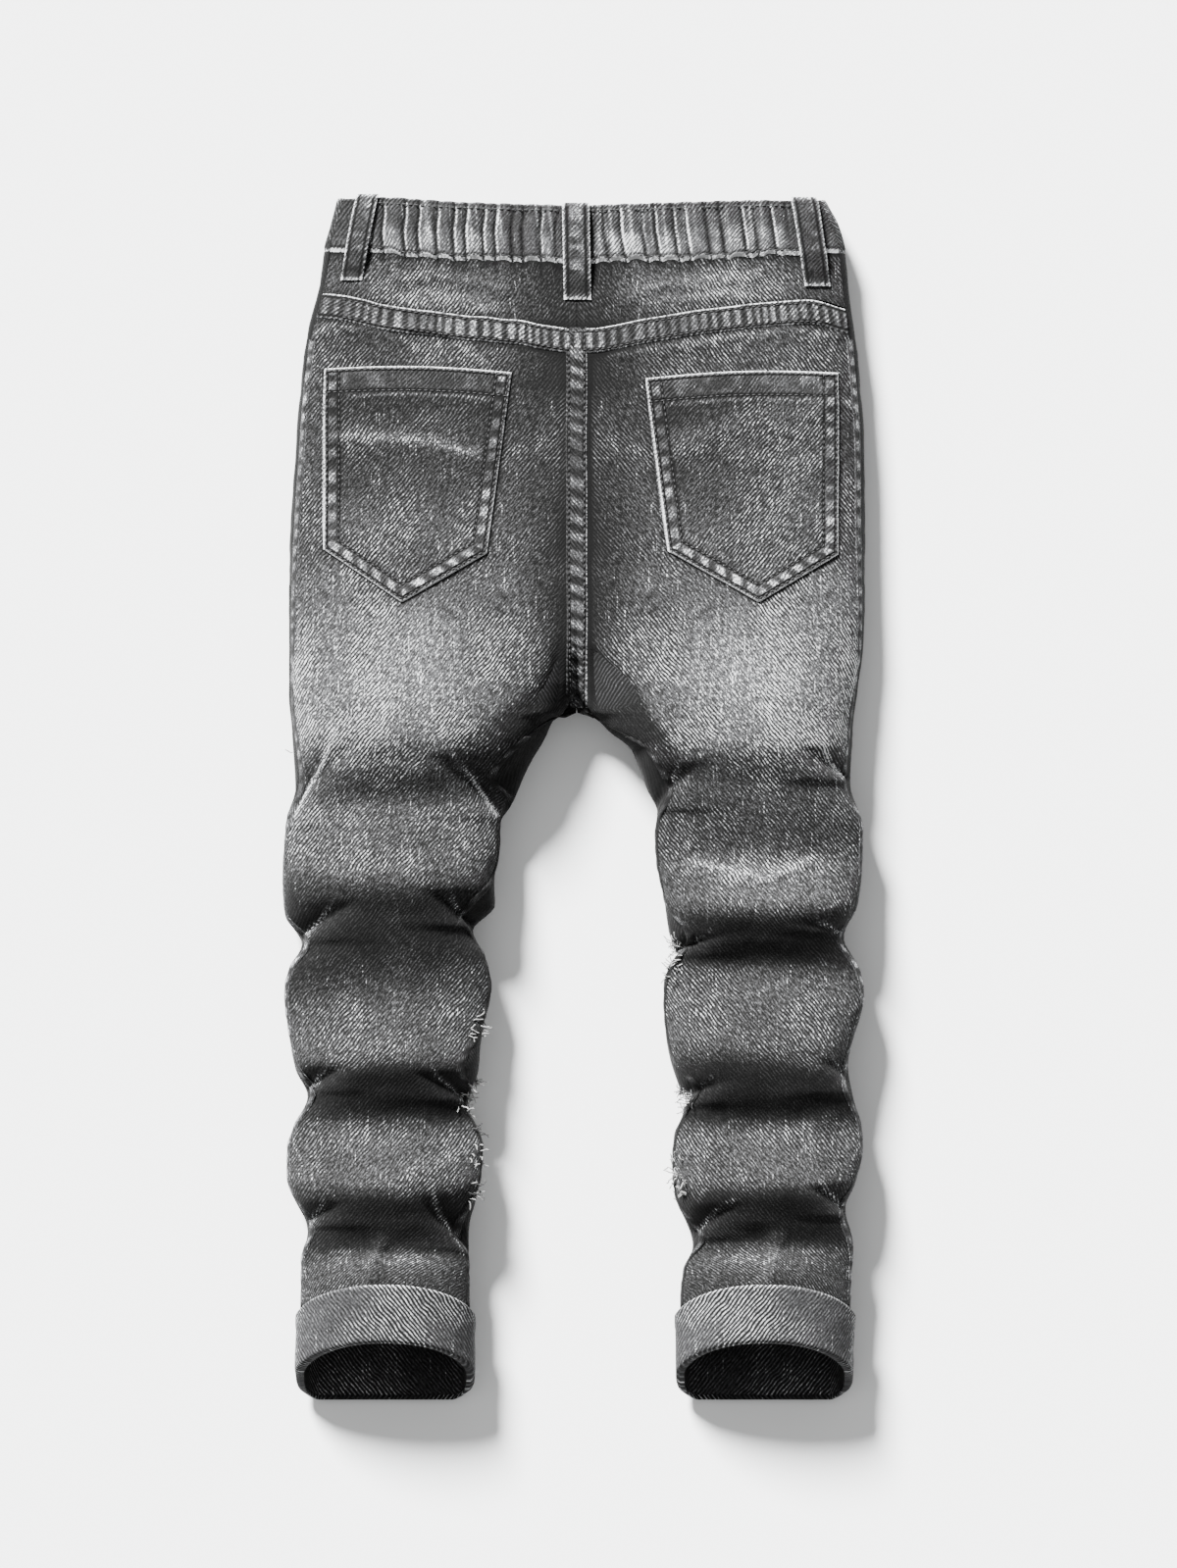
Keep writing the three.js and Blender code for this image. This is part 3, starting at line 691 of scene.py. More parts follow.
# Straight above the jeans, so far off that its sight lines are nearly parallel.
VIEW_HEIGHT = 0.7995
CAMERA_FAR = 12.0
CAMERA_OVER = (0.007, 0.00575)
SENSOR = 36.0
SUN_POWER, SUN_ANGLE = 31.5, math.radians(15)
SUN_FROM = (-0.75, 1.5, 1.0)
ROOM_LIGHT = 0.6
FLOOR_SIZE = 6.0
FLOOR_DROP = 0.05  # the floor lies this many millimetres below the cloth


def make_camera():
    camera = bpy.data.cameras.new("camera")
    camera.sensor_fit, camera.sensor_height = "VERTICAL", SENSOR
    camera.lens = SENSOR * CAMERA_FAR / VIEW_HEIGHT
    camera.clip_end = 50
    holder = bpy.data.objects.new("camera", camera)
    holder.location = (*CAMERA_OVER, CAMERA_FAR)
    bpy.context.scene.collection.objects.link(holder)
    bpy.context.scene.camera = holder


def make_light():
    """One large soft lamp beyond the waist to the left, in a room of white walls."""
    sun = bpy.data.lights.new("key", "SUN")
    sun.energy, sun.angle = SUN_POWER, SUN_ANGLE
    holder = bpy.data.objects.new("key", sun)
    holder.rotation_euler = Vector(SUN_FROM).to_track_quat("Z", "Y").to_euler()
    bpy.context.scene.collection.objects.link(holder)
    world = bpy.data.worlds.new("room")
    world.use_nodes = True
    background = world.node_tree.nodes["Background"]
    background.inputs["Color"].default_value = (1.0, 1.0, 1.0, 1.0)
    background.inputs["Strength"].default_value = ROOM_LIGHT
    bpy.context.scene.world = world


def make_floor():
    side = np.linspace(-FLOOR_SIZE / 2, FLOOR_SIZE / 2, 3) / MM
    x, y = np.meshgrid(side, side)
    points = np.stack([x.ravel(), y.ravel(), np.full(x.size, -FLOOR_DROP)], -1)
    mesh = bpy.data.meshes.new("table")
    mesh.from_pydata((points * MM).tolist(), [], [(i, i + 1, i + 4, i + 3) for i in (0, 1, 3, 4)])
    mesh.materials.append(studio_paper())
    floor = bpy.data.objects.new("table", mesh)
    bpy.context.scene.collection.objects.link(floor)


make_camera()
make_light()
make_floor()

CLOTH_SIDES = [washed_denim, denim_wrong_side]


# ------------------------------------------------------------------------------ folds, dye, wear, painted light and shade

# Where each gather of the waistband begins, by X at its foot. Those on the right lean left as they rise.
LEFT_GATHERS = [-104, -97, -86, -79, -69.5, -61, -55, -46, -40, -31.5, -26, -17, -9]
RIGHT_GATHERS = [10, 17.5, 26, 37, 43.5, 53, 59, 69.5, 77, 88, 94, 103, 111]
GATHER_LEAN = 0.16

# Soft ridges: (points, width, height, how pale wear has made the top). Low ones are creases.
SEAT_FOLDS = [
    ([(-19, 271), (-13, 263), (-8, 256)], 1.7, 0.9, 0.0),
    ([(-135, 233), (-128, 237), (-99, 237), (-77, 237), (-63, 233), (-50, 223), (-44, 218)], 2.2, 0.7, 0.25),
    ([(142, 233), (106, 236), (51, 228.5), (19, 222)], 2.2, 0.7, 0.22),
    ([(-92, 262), (-70, 263.5), (-50, 261), (-36, 257)], 3.2, 1.1, 0.1),
    ([(-86, 251), (-66, 251.5), (-44, 248)], 4, 0.9, 0.15),
    ([(26, 251), (48, 260), (70, 262), (94, 264)], 4, 1.1, 0.15),
    ([(38, 249), (62, 253), (88, 255)], 3, 0.7, 0.12),
    ([(-142, 176), (-137, 172)], 1.8, 0.6, 0.5),
    ([(138, 200), (145, 195.5)], 1.8, 0.6, 0.5),
    ([(-142, 66), (-136, 48), (-133, 30)], 5, 0.9, 0.1),
    ([(143, 66), (136, 48), (132, 30)], 5, 0.9, 0.1),
    ([(-70, 90), (-64, 60), (-62, 34)], 9, 1.0, 0.0),
    ([(60, 90), (66, 60), (64, 34)], 9, 1.0, 0.0),
]
POCKET_FOLDS = [
    ([(-120, 183), (-100, 181), (-80, 180.5), (-62, 177.5), (-50, 174)], 3.4, 0.8, 0.45),
    ([(52, 177), (70, 186), (88, 190), (108, 192), (126, 196)], 6.5, 1.0, 0.22),
    ([(84, 172), (104, 170), (126, 168)], 6, 0.7, 0.15),
]
LEG_FOLDS = [
    ([(-99, -230), (-103, -240), (-106, -250)], 4.0, 2.2, 0.15),
    ([(103, -228), (100, -238), (97, -250)], 4.0, 2.2, 0.15),
    ([(-63, -187), (-73, -190), (-84, -191)], 4.0, 1.5, 0.1),
    ([(128, -166), (112, -172), (98, -173)], 5.0, 1.1, 0.1),
    ([(-120, -176), (-104, -182), (-90, -184)], 6.0, 1.0, 0.0),
    ([(-130, -22), (-112, -27), (-96, -30)], 6.0, 1.0, 0.0),
    ([(62, -35), (80, -41), (98, -42), (120, -33)], 3.2, 1.3, 0.3),
]


def gather_place(x, y):
    """Each point's gather of the waistband, how far across it is from 0 to 1, and how wide that gather is."""
    lean = np.where(x > CENTRE_X, GATHER_LEAN, 0.03)
    foot = x + lean * (y - 272) + 0.8 * noise(y, x * 0.1, 11, 40)
    starts = np.array([*LEFT_GATHERS, *RIGHT_GATHERS, 118.0])
    which = np.clip(np.searchsorted(starts, foot, side="right") - 1, 0, len(starts) - 2)
    wide = starts[which + 1] - starts[which]
    share = np.clip((foot - starts[which]) / wide, 0, 1)
    return which, share, wide


def elastic(x):
    """1 where the elastic gathers the waistband, and 0 under the centre loop and at the sides."""
    return rise(np.abs(x - CENTRE_X), 7, 12) * (1 - rise(np.abs(x), 103, 112))


def gathers(x, y):
    """How high each point of a gathered edge is pulled, from 0 to 1."""
    _, share, wide = gather_place(x, y)
    return elastic(x) * np.sin(share * math.pi) ** 0.8 * np.clip(wide / 9, 0.6, 1.1)


def fold_ridges(x, y, folds):
    """Height of the folds at each point, and how pale wear has made them."""
    height, pale = np.zeros(np.shape(x)), np.zeros(np.shape(x))
    for line, width, tall, wear in folds:
        bend = distance_to_line(x + 1.5 * noise(x, y, 14, 7), y + 1.5 * noise(x, y, 14, 8), line)
        height += tall * bell(bend, width)
        pale = np.maximum(pale, wear * bell(bend, width))
    return height, pale


def waist_line(x):
    """The lower edge of the waistband, which the gathers pull up into scallops."""
    x = np.asarray(x, float)
    return waist_seam(x) + 1.5 * gathers(x, 272 + 0 * x) + 0.4 * noise(x, 0 * x, 6, 11)


def seat_relief(x, y):
    """The unevenness of the seat and yoke, and how pale wear has made the tops of the creases."""
    height, pale = fold_ridges(x, y, SEAT_FOLDS)
    height += 0.7 * noise(x, y, 32, 1) + 0.3 * noise(x, y, 13, 2) + 0.1 * noise(x, y, 5, 3)
    drawn = np.exp(-np.maximum(0, waist_seam(x) - y) / 6) * rise(y, 225, 250)
    drawn = drawn * gathers(x, y)
    height += drawn - CROTCH_DEPTH * crotch_fold(x, y) * rise(np.abs(x - CENTRE_X), 5, 11)
    return height, np.maximum(pale, 0.3 * drawn)


# Between the tops of the legs the cloth is folded in, and it is painted dark there as painted shade.
CROTCH_DEPTH = 2.6
crotch_left = curve([
    (86, 3), (76, 8), (66, 12), (58, 16), (50, 23), (44, 31), (38, 41), (32, 51), (24, 62), (8, 78),
])
crotch_right = curve([
    (84, 3), (76, 8), (70, 14), (64, 21), (57, 28), (48, 33), (40, 37), (30, 46), (20, 53), (8, 62),
])


def crotch_fold(x, y):
    """1 inside the folded-in part by the crotch and 0 outside it."""
    left = x < CENTRE_X
    edge = np.where(left, crotch_left(y), crotch_right(y))
    away = np.abs(x - CENTRE_X) - edge + 1.5 * noise(x, y, 13, 12)
    soft = np.where(left, 8.5, 3.5)
    return (1 - rise(away, -soft, soft)) * (1 - rise(y, 70, 92)) * rise(y, 4, 22)


def crease_wear_highlight_and_shade(half_, x, y):
    """Wear and a painted highlight along the sharp edges of the buckled folds, and painted shade in the hollow
    beside each.
    """
    rub, crease_shade = np.zeros(np.shape(x)), np.zeros(np.shape(x))
    middle, _, _ = section(half_, y)
    outside = (x - middle) * half_.side > 0
    sides = ((half_.outer_creases, outside), (half_.inner_creases, ~outside))
    for creases, there in sides:
        for top, join, line in creases:
            ys = np.linspace(top, join, 9)
            near = distance_to_line(x, y, list(zip(line(ys), ys)))
            along = rise(-y, -top - 3, -(top + join) / 2) * (1 - rise(-y, -join, -join + 6))
            beyond = there & (np.abs(x - middle) > np.abs(line(y) - middle))
            rub = np.maximum(rub, bell(near, 1.3) * (0.15 + 0.85 * along))
            crease_shade = np.maximum(crease_shade, np.exp(-near / 5) * along * beyond)
    return rub, crease_shade


# Patches of the seat that the wash has reached more, or less where the change is below 0:
# (change, X, Y, half width, half height).
SEAT_PATCHES = [
    (0.19, -60, 255, 38, 12), (0.24, 66, 259, 44, 13), (0.16, -64, 240, 38, 9), (0.16, 80, 240, 40, 9),
    (0.12, -58, 226, 22, 8), (0.07, 96, 224, 44, 8), (-0.12, -112, 232, 22, 9), (-0.10, -137, 120, 14, 30),
    (0.10, 78, 62, 42, 24), (0.03, -84, 62, 40, 36),
]


def seat_fade_and_shade(x, y):
    """How pale the seat is, from 0 to 1: how far the wash has taken the dye off it, with painted shade towards
    the crotch.
    """
    off = np.abs(x - CENTRE_X)
    fade = 0.33 + 0.08 * rise(-y, -190, -140) + 0.12 * rise(-y, -128, -106) + 0.10 * rise(-y, -108, -84)
    centre = 0.18 - 0.11 * rise(-y, -215, -198) + 0.14 * rise(-y, -178, -158)
    fade -= centre * (1 - rise(off, 8, 40)) * rise(y, 80, 110)
    # Painted shade: darker towards the middle of the crotch, where the seat turns down between the legs, and
    # darkest inside the folded-in part.
    fade -= mix(0.04, 0.20, rise(-y, -112, -86)) * (1 - rise(off, 22, 84))
    fade -= 0.2 * (1 - rise(off, 5, 32)) * rise(-y, -118, -84) * rise(y, 44, 62)
    fade -= np.where(x < CENTRE_X, 0.32, 0.3) * crotch_fold(x, y)
    # The painted shadow in the hollow on the right is darkest just inside its upper edge.
    under = crotch_right(y) - 6 - (x - CENTRE_X)
    fade -= 0.16 * bell(under, 5) * (x > CENTRE_X) * rise(y, 22, 34) * (1 - rise(y, 66, 78))
    for change, *patch in SEAT_PATCHES:
        fade += change * blob(x, y, *patch)
    return fade + 0.05 * noise(x, y, 26, 13)


def leg_fade_light_and_shade(half_, x, y):
    """How pale a leg is. Slopes that face the waist and the lamp are painted paler, as painted light, and
    those that face the hems darker, as painted shade.
    """
    slope = (half_.height(y + 3) - half_.height(y - 3)) / 6
    fade = 0.30 - 0.12 * np.clip(slope / 0.4, -1, 1) + 0.05 * noise(x, y, 24, 14)
    # The middle of each leg is paler than its sides, and long soft streaks run down it.
    middle, half_width, _ = section(half_, y)
    fade += 0.05 * bell((x - middle) / half_width, 0.7) + 0.04 * noise(x, 0.08 * y, 7, 17)
    # Below each pair of creases a dome of painted shade, highest at the middle of the leg.
    for top, low in half_.domes:
        arched = y - low - (top - low) * (1 - ((x - middle) / half_width) ** 2)
        fade -= 0.11 * (1 - rise(arched, -6, 6)) * rise(y, low - 16, low + 6)
    # The tops of the legs by the seat are painted paler, as painted light; lower down and towards the cuffs
    # they are a little darker.
    return fade + 0.16 * rise(y, -30, 5) - 0.04 * rise(-y, 60, 90) - 0.05 * rise(-y, 205, 235)


def back_fade_light_and_shade(half_, x, y, z):
    """How pale a back panel is: its wash, with painted light and shade."""
    return mix(leg_fade_light_and_shade(half_, x, y), seat_fade_and_shade(x, y), rise(y, 6, 32))


# -------------------------------------------------------------------------------------------- cloth


def shape_normals(half_, y, turn):
    along = shape(half_, y + 0.7, turn) - shape(half_, y - 0.7, turn)
    around = shape(half_, y, turn + 0.015) - shape(half_, y, turn - 0.015)
    return unit(np.cross(around, along)) * -half_.side


def surface_at(half_, y, turn):
    return shape(half_, y, turn), shape_normals(half_, y, turn)


def joined(halves, axis):
    """The grids of the two halves, such as their points and their normals, each joined into one."""
    return [np.concatenate(pair, axis=axis) for pair in zip(*halves)]


def outseam(y):
    return np.radians(outseam_degrees(y))


def back_end(half_, y):
    """The turn where a back panel ends: at the centre seam above the crotch, at the inseam below it."""
    centre = turn_at(half_, CENTRE_X + half_.side * SEAM_GAP, np.maximum(y, CROTCH_Y))
    return np.where(y > CROTCH_Y, centre, math.pi - np.radians(half_.inseam(y)) - TURN_GAP)


def weave_place(points, y, reference, calm=0.0):
    return vectors(lengths_from(points, reference), y, calm)


def seam_shadows(x, y):
    """Narrow painted shadows below the yoke's fell and beside the pockets, where they stand off the seat."""
    dark = bell(yoke_seam(x) - YOKE_WELT - 0.6 - y, 1.2) * (y > 150)
    for cut in (LEFT_POCKET, RIGHT_POCKET):
        sides, _, _ = cut.edge_distance(x, y)
        dark = np.maximum(dark, bell(sides, 1.3) * (y < cut.top_left[1]))
    return dark


def back_panel(half_, name):
    ys = np.linspace(238, LEG_END_Y, 372)
    turns = even_turns(half_, ys, outseam(ys) + TURN_GAP, back_end(half_, ys), 116)
    head_x = shape(half_, ys[0], turns[0])[:, 0]
    y = ys[:, None] + ((yoke_seam(head_x) - 0.2 - ys[0])[None, :] * rise(ys, 185, 238)[:, None])
    points, normals = surface_at(half_, y, turns)
    x, z = points[..., 0], points[..., 2]
    seat, seat_near = seat_relief(x, y)
    leg, leg_near = fold_ridges(x, points[..., 1], LEG_FOLDS)
    share = rise(y, 20, 70)
    upper = rise(z, side_level(y) + 2, side_level(y) + 9)
    leg += 0.5 * noise(x, y, 22, 21) + 0.22 * noise(x, y, 9, 22)
    relief = upper * mix(leg, seat, share)
    face, back = raised(points, normals, relief), raised(points, normals, -CLOTH)
    fade = back_fade_light_and_shade(half_, x, y, z)
    # Wear and a painted highlight along the crease edges, and painted shade beside them.
    crease, crease_shade = crease_wear_highlight_and_shade(half_, x, points[..., 1])
    rub = np.maximum(seat_near * share, leg_near * (1 - share)) + 0.85 * crease
    # Darker along the centre seam, a painted shadow line beside its right edge, painted shade beyond each
    # crease, and painted shadows beside the seams.
    deep = 0.35 * bell(x - CENTRE_X, 7.5) * rise(y, 40, 60) + 0.5 * crease_shade * (1 - crease)
    deep += 0.45 * bell(x - CENTRE_X - 6.3, 1.3) * rise(y, 40, 50) + 0.5 * seam_shadows(x, y)
    wash_light_and_shade = vectors(fade, rub, deep)
    place = weave_place(points, y, half_.grain)
    return cloth_piece(name, face, back, place, wash_light_and_shade, CLOTH_SIDES, inner_marks_share=INNER_MARKS_SHARE)


def yoke(half_, name):
    rows = 30
    ys = np.linspace(272, 245, rows)
    turns = even_turns(half_, ys, outseam(ys) + TURN_GAP, back_end(half_, ys), 116)
    head_x = shape(half_, ys[0], turns[0])[:, 0]
    down = downward(0, 1, rows)
    y = mix(waist_line(head_x)[None, :] - 0.1, yoke_seam(head_x)[None, :] + 0.1, down)
    points, normals = surface_at(half_, y, turns)
    x = points[..., 0]
    relief, near = seat_relief(x, y)
    face, back = raised(points, normals, relief), raised(points, normals, -CLOTH)
    # Painted shadow just below the waistband, and painted shade along the top of the yoke's fell.
    deep = 0.9 * np.exp(-(waist_line(x) - y) / 2.2) + 0.5 * np.exp(-(y - yoke_seam(x)) / 1.5)
    wash_light_and_shade = vectors(seat_fade_and_shade(x, y), near, deep)
    return cloth_piece(name, face, back, weave_place(points, y, half_.grain), wash_light_and_shade, CLOTH_SIDES)


def both_halves(ys, count):
    """Turns for each row across the whole back: the left half's, then the right's."""
    left = even_turns(LEFT, ys, outseam(ys) + TURN_GAP, back_end(LEFT, ys), count)
    right = even_turns(RIGHT, ys, outseam(ys) + TURN_GAP, back_end(RIGHT, ys), count)[:, ::-1]
    return left, right


def band_edges(up):
    """1 on a waistband and less along its thin, pressed edges. up is the share of its height."""
    return 1 - 0.75 * (bell(up, 0.05) + bell(up - 1, 0.05))


def waistband_back():
    rows = 46
    ys = np.linspace(271, 303, rows)
    left, right = both_halves(ys, 230)
    parts = []
    for half_, turns in ((LEFT, left), (RIGHT, right)):
        head_x = shape(half_, 287.0, turns[rows // 2])[:, 0]
        top = waist_top(head_x) + 0.5 * gathers(head_x, 303.0) - 0.4
        y = mix(waist_line(head_x)[None, :], top[None, :], downward(0, 1, rows))
        parts.append((*surface_at(half_, y, turns), y))
    points, normals, y = joined(parts, axis=1)
    x = points[..., 0]
    up = downward(0, 1, rows)
    which, share, wide = gather_place(x, y)
    held = elastic(x)
    table = np.random.RandomState(34).uniform(0.35, 1, 40)
    strong = table[which]
    edge = band_edges(up)
    puffed = np.sin(share * math.pi) ** 0.7 * np.clip(wide / 9, 0.5, 1.2)
    relief = held * (2.0 * puffed - 0.7) * edge * mix(1.0, 0.6, rise(up, 0.5, 1)) + 0.3 * noise(x, y, 8, 31)
    face = raised(points, normals, WAISTBAND_OUT * edge + relief)
    back = raised(points, normals, -(WAISTBAND_IN - 0.4 * held * puffed))
    # The lower half is rubbed pale on the puffs; above it only their thin ridges are.
    patch = held * strong * (1 - rise(up + 0.08 * noise(x, y, 5, 36), 0.4, 0.62)) * rise(puffed, 0.3, 0.95)
    fade = 0.44 + 0.06 * noise(x, y, 14, 33) + 0.36 * patch
    near_edge = share * wide
    streak = rise(noise(x + 0.1 * (y - 272), 0.04 * y, 1.7, 39), 0.1, 0.75) * rise(up, 0.12, 0.4)
    ridge = bell(near_edge - 1.0, 0.6) * rise(table[::-1][which], 0.45, 0.75)
    ridge = ridge * rise(up, 0.08, 0.2) * (1 - rise(up, 0.88, 0.97))
    scallop = bell((up - 0.03) * 30, 1.35) * mix(1, rise(puffed, 0.15, 0.5), held)
    rub = held * (0.95 * ridge + 0.35 * streak) + 1.35 * scallop + 0.5 * bell((up - 1) * 30, 0.7)
    # Painted shade in the gaps between the gathers.
    gap = np.minimum(near_edge, (1 - share) * wide)
    deep = 0.6 * held * bell(gap, 0.8) * rise(up, 0.05, 0.25) + 0.7 * bell((up - 0.1) * 30, 0.7)
    deep += 0.5 * bell((up - 0.95) * 30, 0.6) + 0.3 * (1 - held) * rise(up, 0.2, 0.5)
    wash_light_and_shade = vectors(fade, rub, deep)
    place = weave_place(points, y, 0.0, SEAM_CALM)
    return cloth_piece("waistband_back_cloth", face, back, place, wash_light_and_shade, CLOTH_SIDES)


# ------------------------------------------------------------------------------------- felled seams


def roping(along, across, pitch, lean, seed):
    """The light and dark blocks of a turned seam whose layers creep over each other, slanted by lean."""
    wander = along + 3.4 * noise(along, 0 * along, 17, seed)
    wave = np.sin(2 * math.pi * (wander / pitch + lean * across))
    wave = wave + 0.5 * noise(along, across * 3, 3.6, seed + 1)
    patchy = 0.72 + 0.28 * noise(along, 0 * along, 13, seed + 2)
    return rise(wave, -0.9, 0.5) * patchy


def welt(name, points, normals, along, across, *, thick, seed, pitch, lean, fade, edges, line=0.7):
    """A raised band of folded cloth over a seam. along is its length in millimetres and across runs from -1
    to 1. Blocks of roping come every pitch, and edges says how pale the low and the high edge are."""
    block = roping(along, across, pitch, lean, seed)
    body = (1 - np.abs(across) ** 8) ** 0.5
    groove = bell(np.abs(across) - 0.76, 0.1)
    height = 0.1 + body * (thick + 0.35 * (block - 0.4) * (np.abs(across) < 0.7) - 0.35 * groove)
    face, back = raised(points, normals, height), raised(points, normals, 0.04)
    low, high = edges
    edge = low * bell(across + 1, 0.12) + high * bell(across - 1, 0.12)
    inner = 1 - rise(np.abs(across), 0.58, 0.7)
    rub = 1.0 * edge + 0.66 * block * inner
    deep = line * groove + 0.2 * (1 - block) * inner
    wash_light_and_shade = vectors(fade, rub, deep)
    place = vectors(across * 5, along, SEAM_CALM)
    return cloth_piece(name, face, back, place, wash_light_and_shade, CLOTH_SIDES, sharp_degrees=70)


def on_seat(x, y):
    """Points and normals of the seat and yoke with their unevenness."""
    relief, _ = seat_relief(x, y)
    normals = top_normals(x, y)
    return raised(top_points(x, y), normals, relief), normals


def centre_seam():
    top = 238
    y = downward(top, 44.5, 200)
    across = sideways(-1, 1, 33)
    x = CENTRE_X + 0.4 * noise(y, 0 * y, 30, 51) + across * CENTRE_WELT / 2 + 0 * y
    points, normals = on_seat(x, y + 0 * x)
    return welt(
        "centre_back_seam", points, normals, top - y + 0 * x, across + 0 * x,
        thick=0.8, seed=52, pitch=8.6, lean=-0.22, fade=0.27, edges=(0.15, 1.1),
    )


def yoke_welt():
    columns = 35
    across = sideways(-1, 1, columns)
    parts = []
    for half_ in (LEFT, RIGHT):
        ys = np.full(2, 247.0)
        turns = even_turns(half_, ys, outseam(ys) + 0.02, back_end(half_, ys), 170)[0]
        if half_ is RIGHT:
            turns = turns[::-1]
        head_x = shape(half_, 247.0, turns)[:, 0][:, None]
        y = yoke_seam(head_x) - YOKE_WELT * (0.5 - 0.5 * across) + 0.3 * noise(head_x, 0 * head_x, 9, 61)
        turn = turns[:, None] + 0 * y
        points, normals = surface_at(half_, y, turn)
        relief, _ = seat_relief(points[..., 0], y)
        parts.append((raised(points, normals, relief), normals))
    points, normals = joined(parts, axis=0)
    along = line_lengths(points[:, columns // 2])[:, None] + 0 * across
    return welt(
        "yoke_seam", points, normals, along, across + 0 * along,
        thick=0.75, seed=62, pitch=5.6, lean=0.03, fade=0.34, edges=(0.7, 1.1),
    )


def side_welt(half_, name, turn_of, top, width, seed, fade, edge):
    """The narrow ridge of an outseam or inseam, down to the cuff."""
    y = np.linspace(top, IN_CUFF_Y, int((top - IN_CUFF_Y) / 1.4))[:, None]
    turn = turn_of(y)
    speed = np.linalg.norm(shape(half_, y, turn + 0.01) - shape(half_, y, turn - 0.01), axis=-1) / 0.02
    across = sideways(-1, 1, 7)
    turns = turn + across * width / 2 / np.maximum(speed, 12)
    ys = y + 0 * turns
    points, normals = surface_at(half_, ys, turns)
    x = points[..., 0]
    relief = np.where(ys > 60, seat_relief(x, ys)[0] * rise(ys, 60, 90), 0) * (np.sin(turns) > 0.25)
    points = raised(points, normals, relief)
    return welt(
        name, points, normals, top - ys, across + 0 * ys,
        thick=0.45, seed=seed, pitch=9.0, lean=0.1, fade=fade, edges=(edge, edge), line=0.2,
    )


# ------------------------------------------------------------------------------------ patch pockets


class PocketCut:
    """The outline of a patch pocket, as corners (X, Y), with the edges bowed a little."""

    def __init__(self, top_left, top_right, low_left, point, low_right, bow):
        self.top_left, self.top_right, self.low_left, self.point, self.low_right = (
            np.array(p, float) for p in (top_left, top_right, low_left, point, low_right)
        )
        self.bow = bow
        self.mid = (self.point[0] - self.low_left[0]) / (self.low_right[0] - self.low_left[0])

    def place(self, across, down):
        low_y = np.where(
            across <= self.mid,
            mix(self.low_left[1], self.point[1], across / self.mid),
            mix(self.point[1], self.low_right[1], (across - self.mid) / (1 - self.mid)),
        )
        top_y = mix(self.top_left[1], self.top_right[1], across) + self.bow * np.sin(across * math.pi)
        y = mix(top_y, low_y, down)
        side_foot = np.minimum(self.low_left[1], self.low_right[1])
        side_down = np.clip(down * (top_y - low_y) / (top_y - side_foot), 0, 1)
        bulge = 1.2 * np.sin(side_down * math.pi) * (across < 0.5)
        left = mix(self.top_left[0], self.low_left[0], side_down) - bulge
        right = mix(self.top_right[0], self.low_right[0], side_down)
        return mix(left, right, across), y

    def edge_distance(self, x, y):
        """How far each point is from the sewn edge, how far along it, and how far below the opening."""
        rim = [self.top_right, self.low_right, self.point, self.low_left, self.top_left]
        sides, run = along_line(x, y, [tuple(p) for p in rim])
        across = (x - self.top_left[0]) / (self.top_right[0] - self.top_left[0])
        bow = self.bow * np.sin(np.clip(across, 0, 1) * math.pi)
        top = mix(self.top_left[1], self.top_right[1], across) + bow - y
        return sides, run, np.maximum(top, 0)


POCKET_BAND = 7.6  # turned edge between the two rows of stitching
POCKET_HEM = 12.2  # turned top hem
POCKET_LIFT = 0.3


def steps_of(*stretches):
    """Rising values through stretches of (start, end, how many steps)."""
    return np.concatenate([[stretches[0][0]], *[np.linspace(a, b, n + 1)[1:] for a, b, n in stretches]])


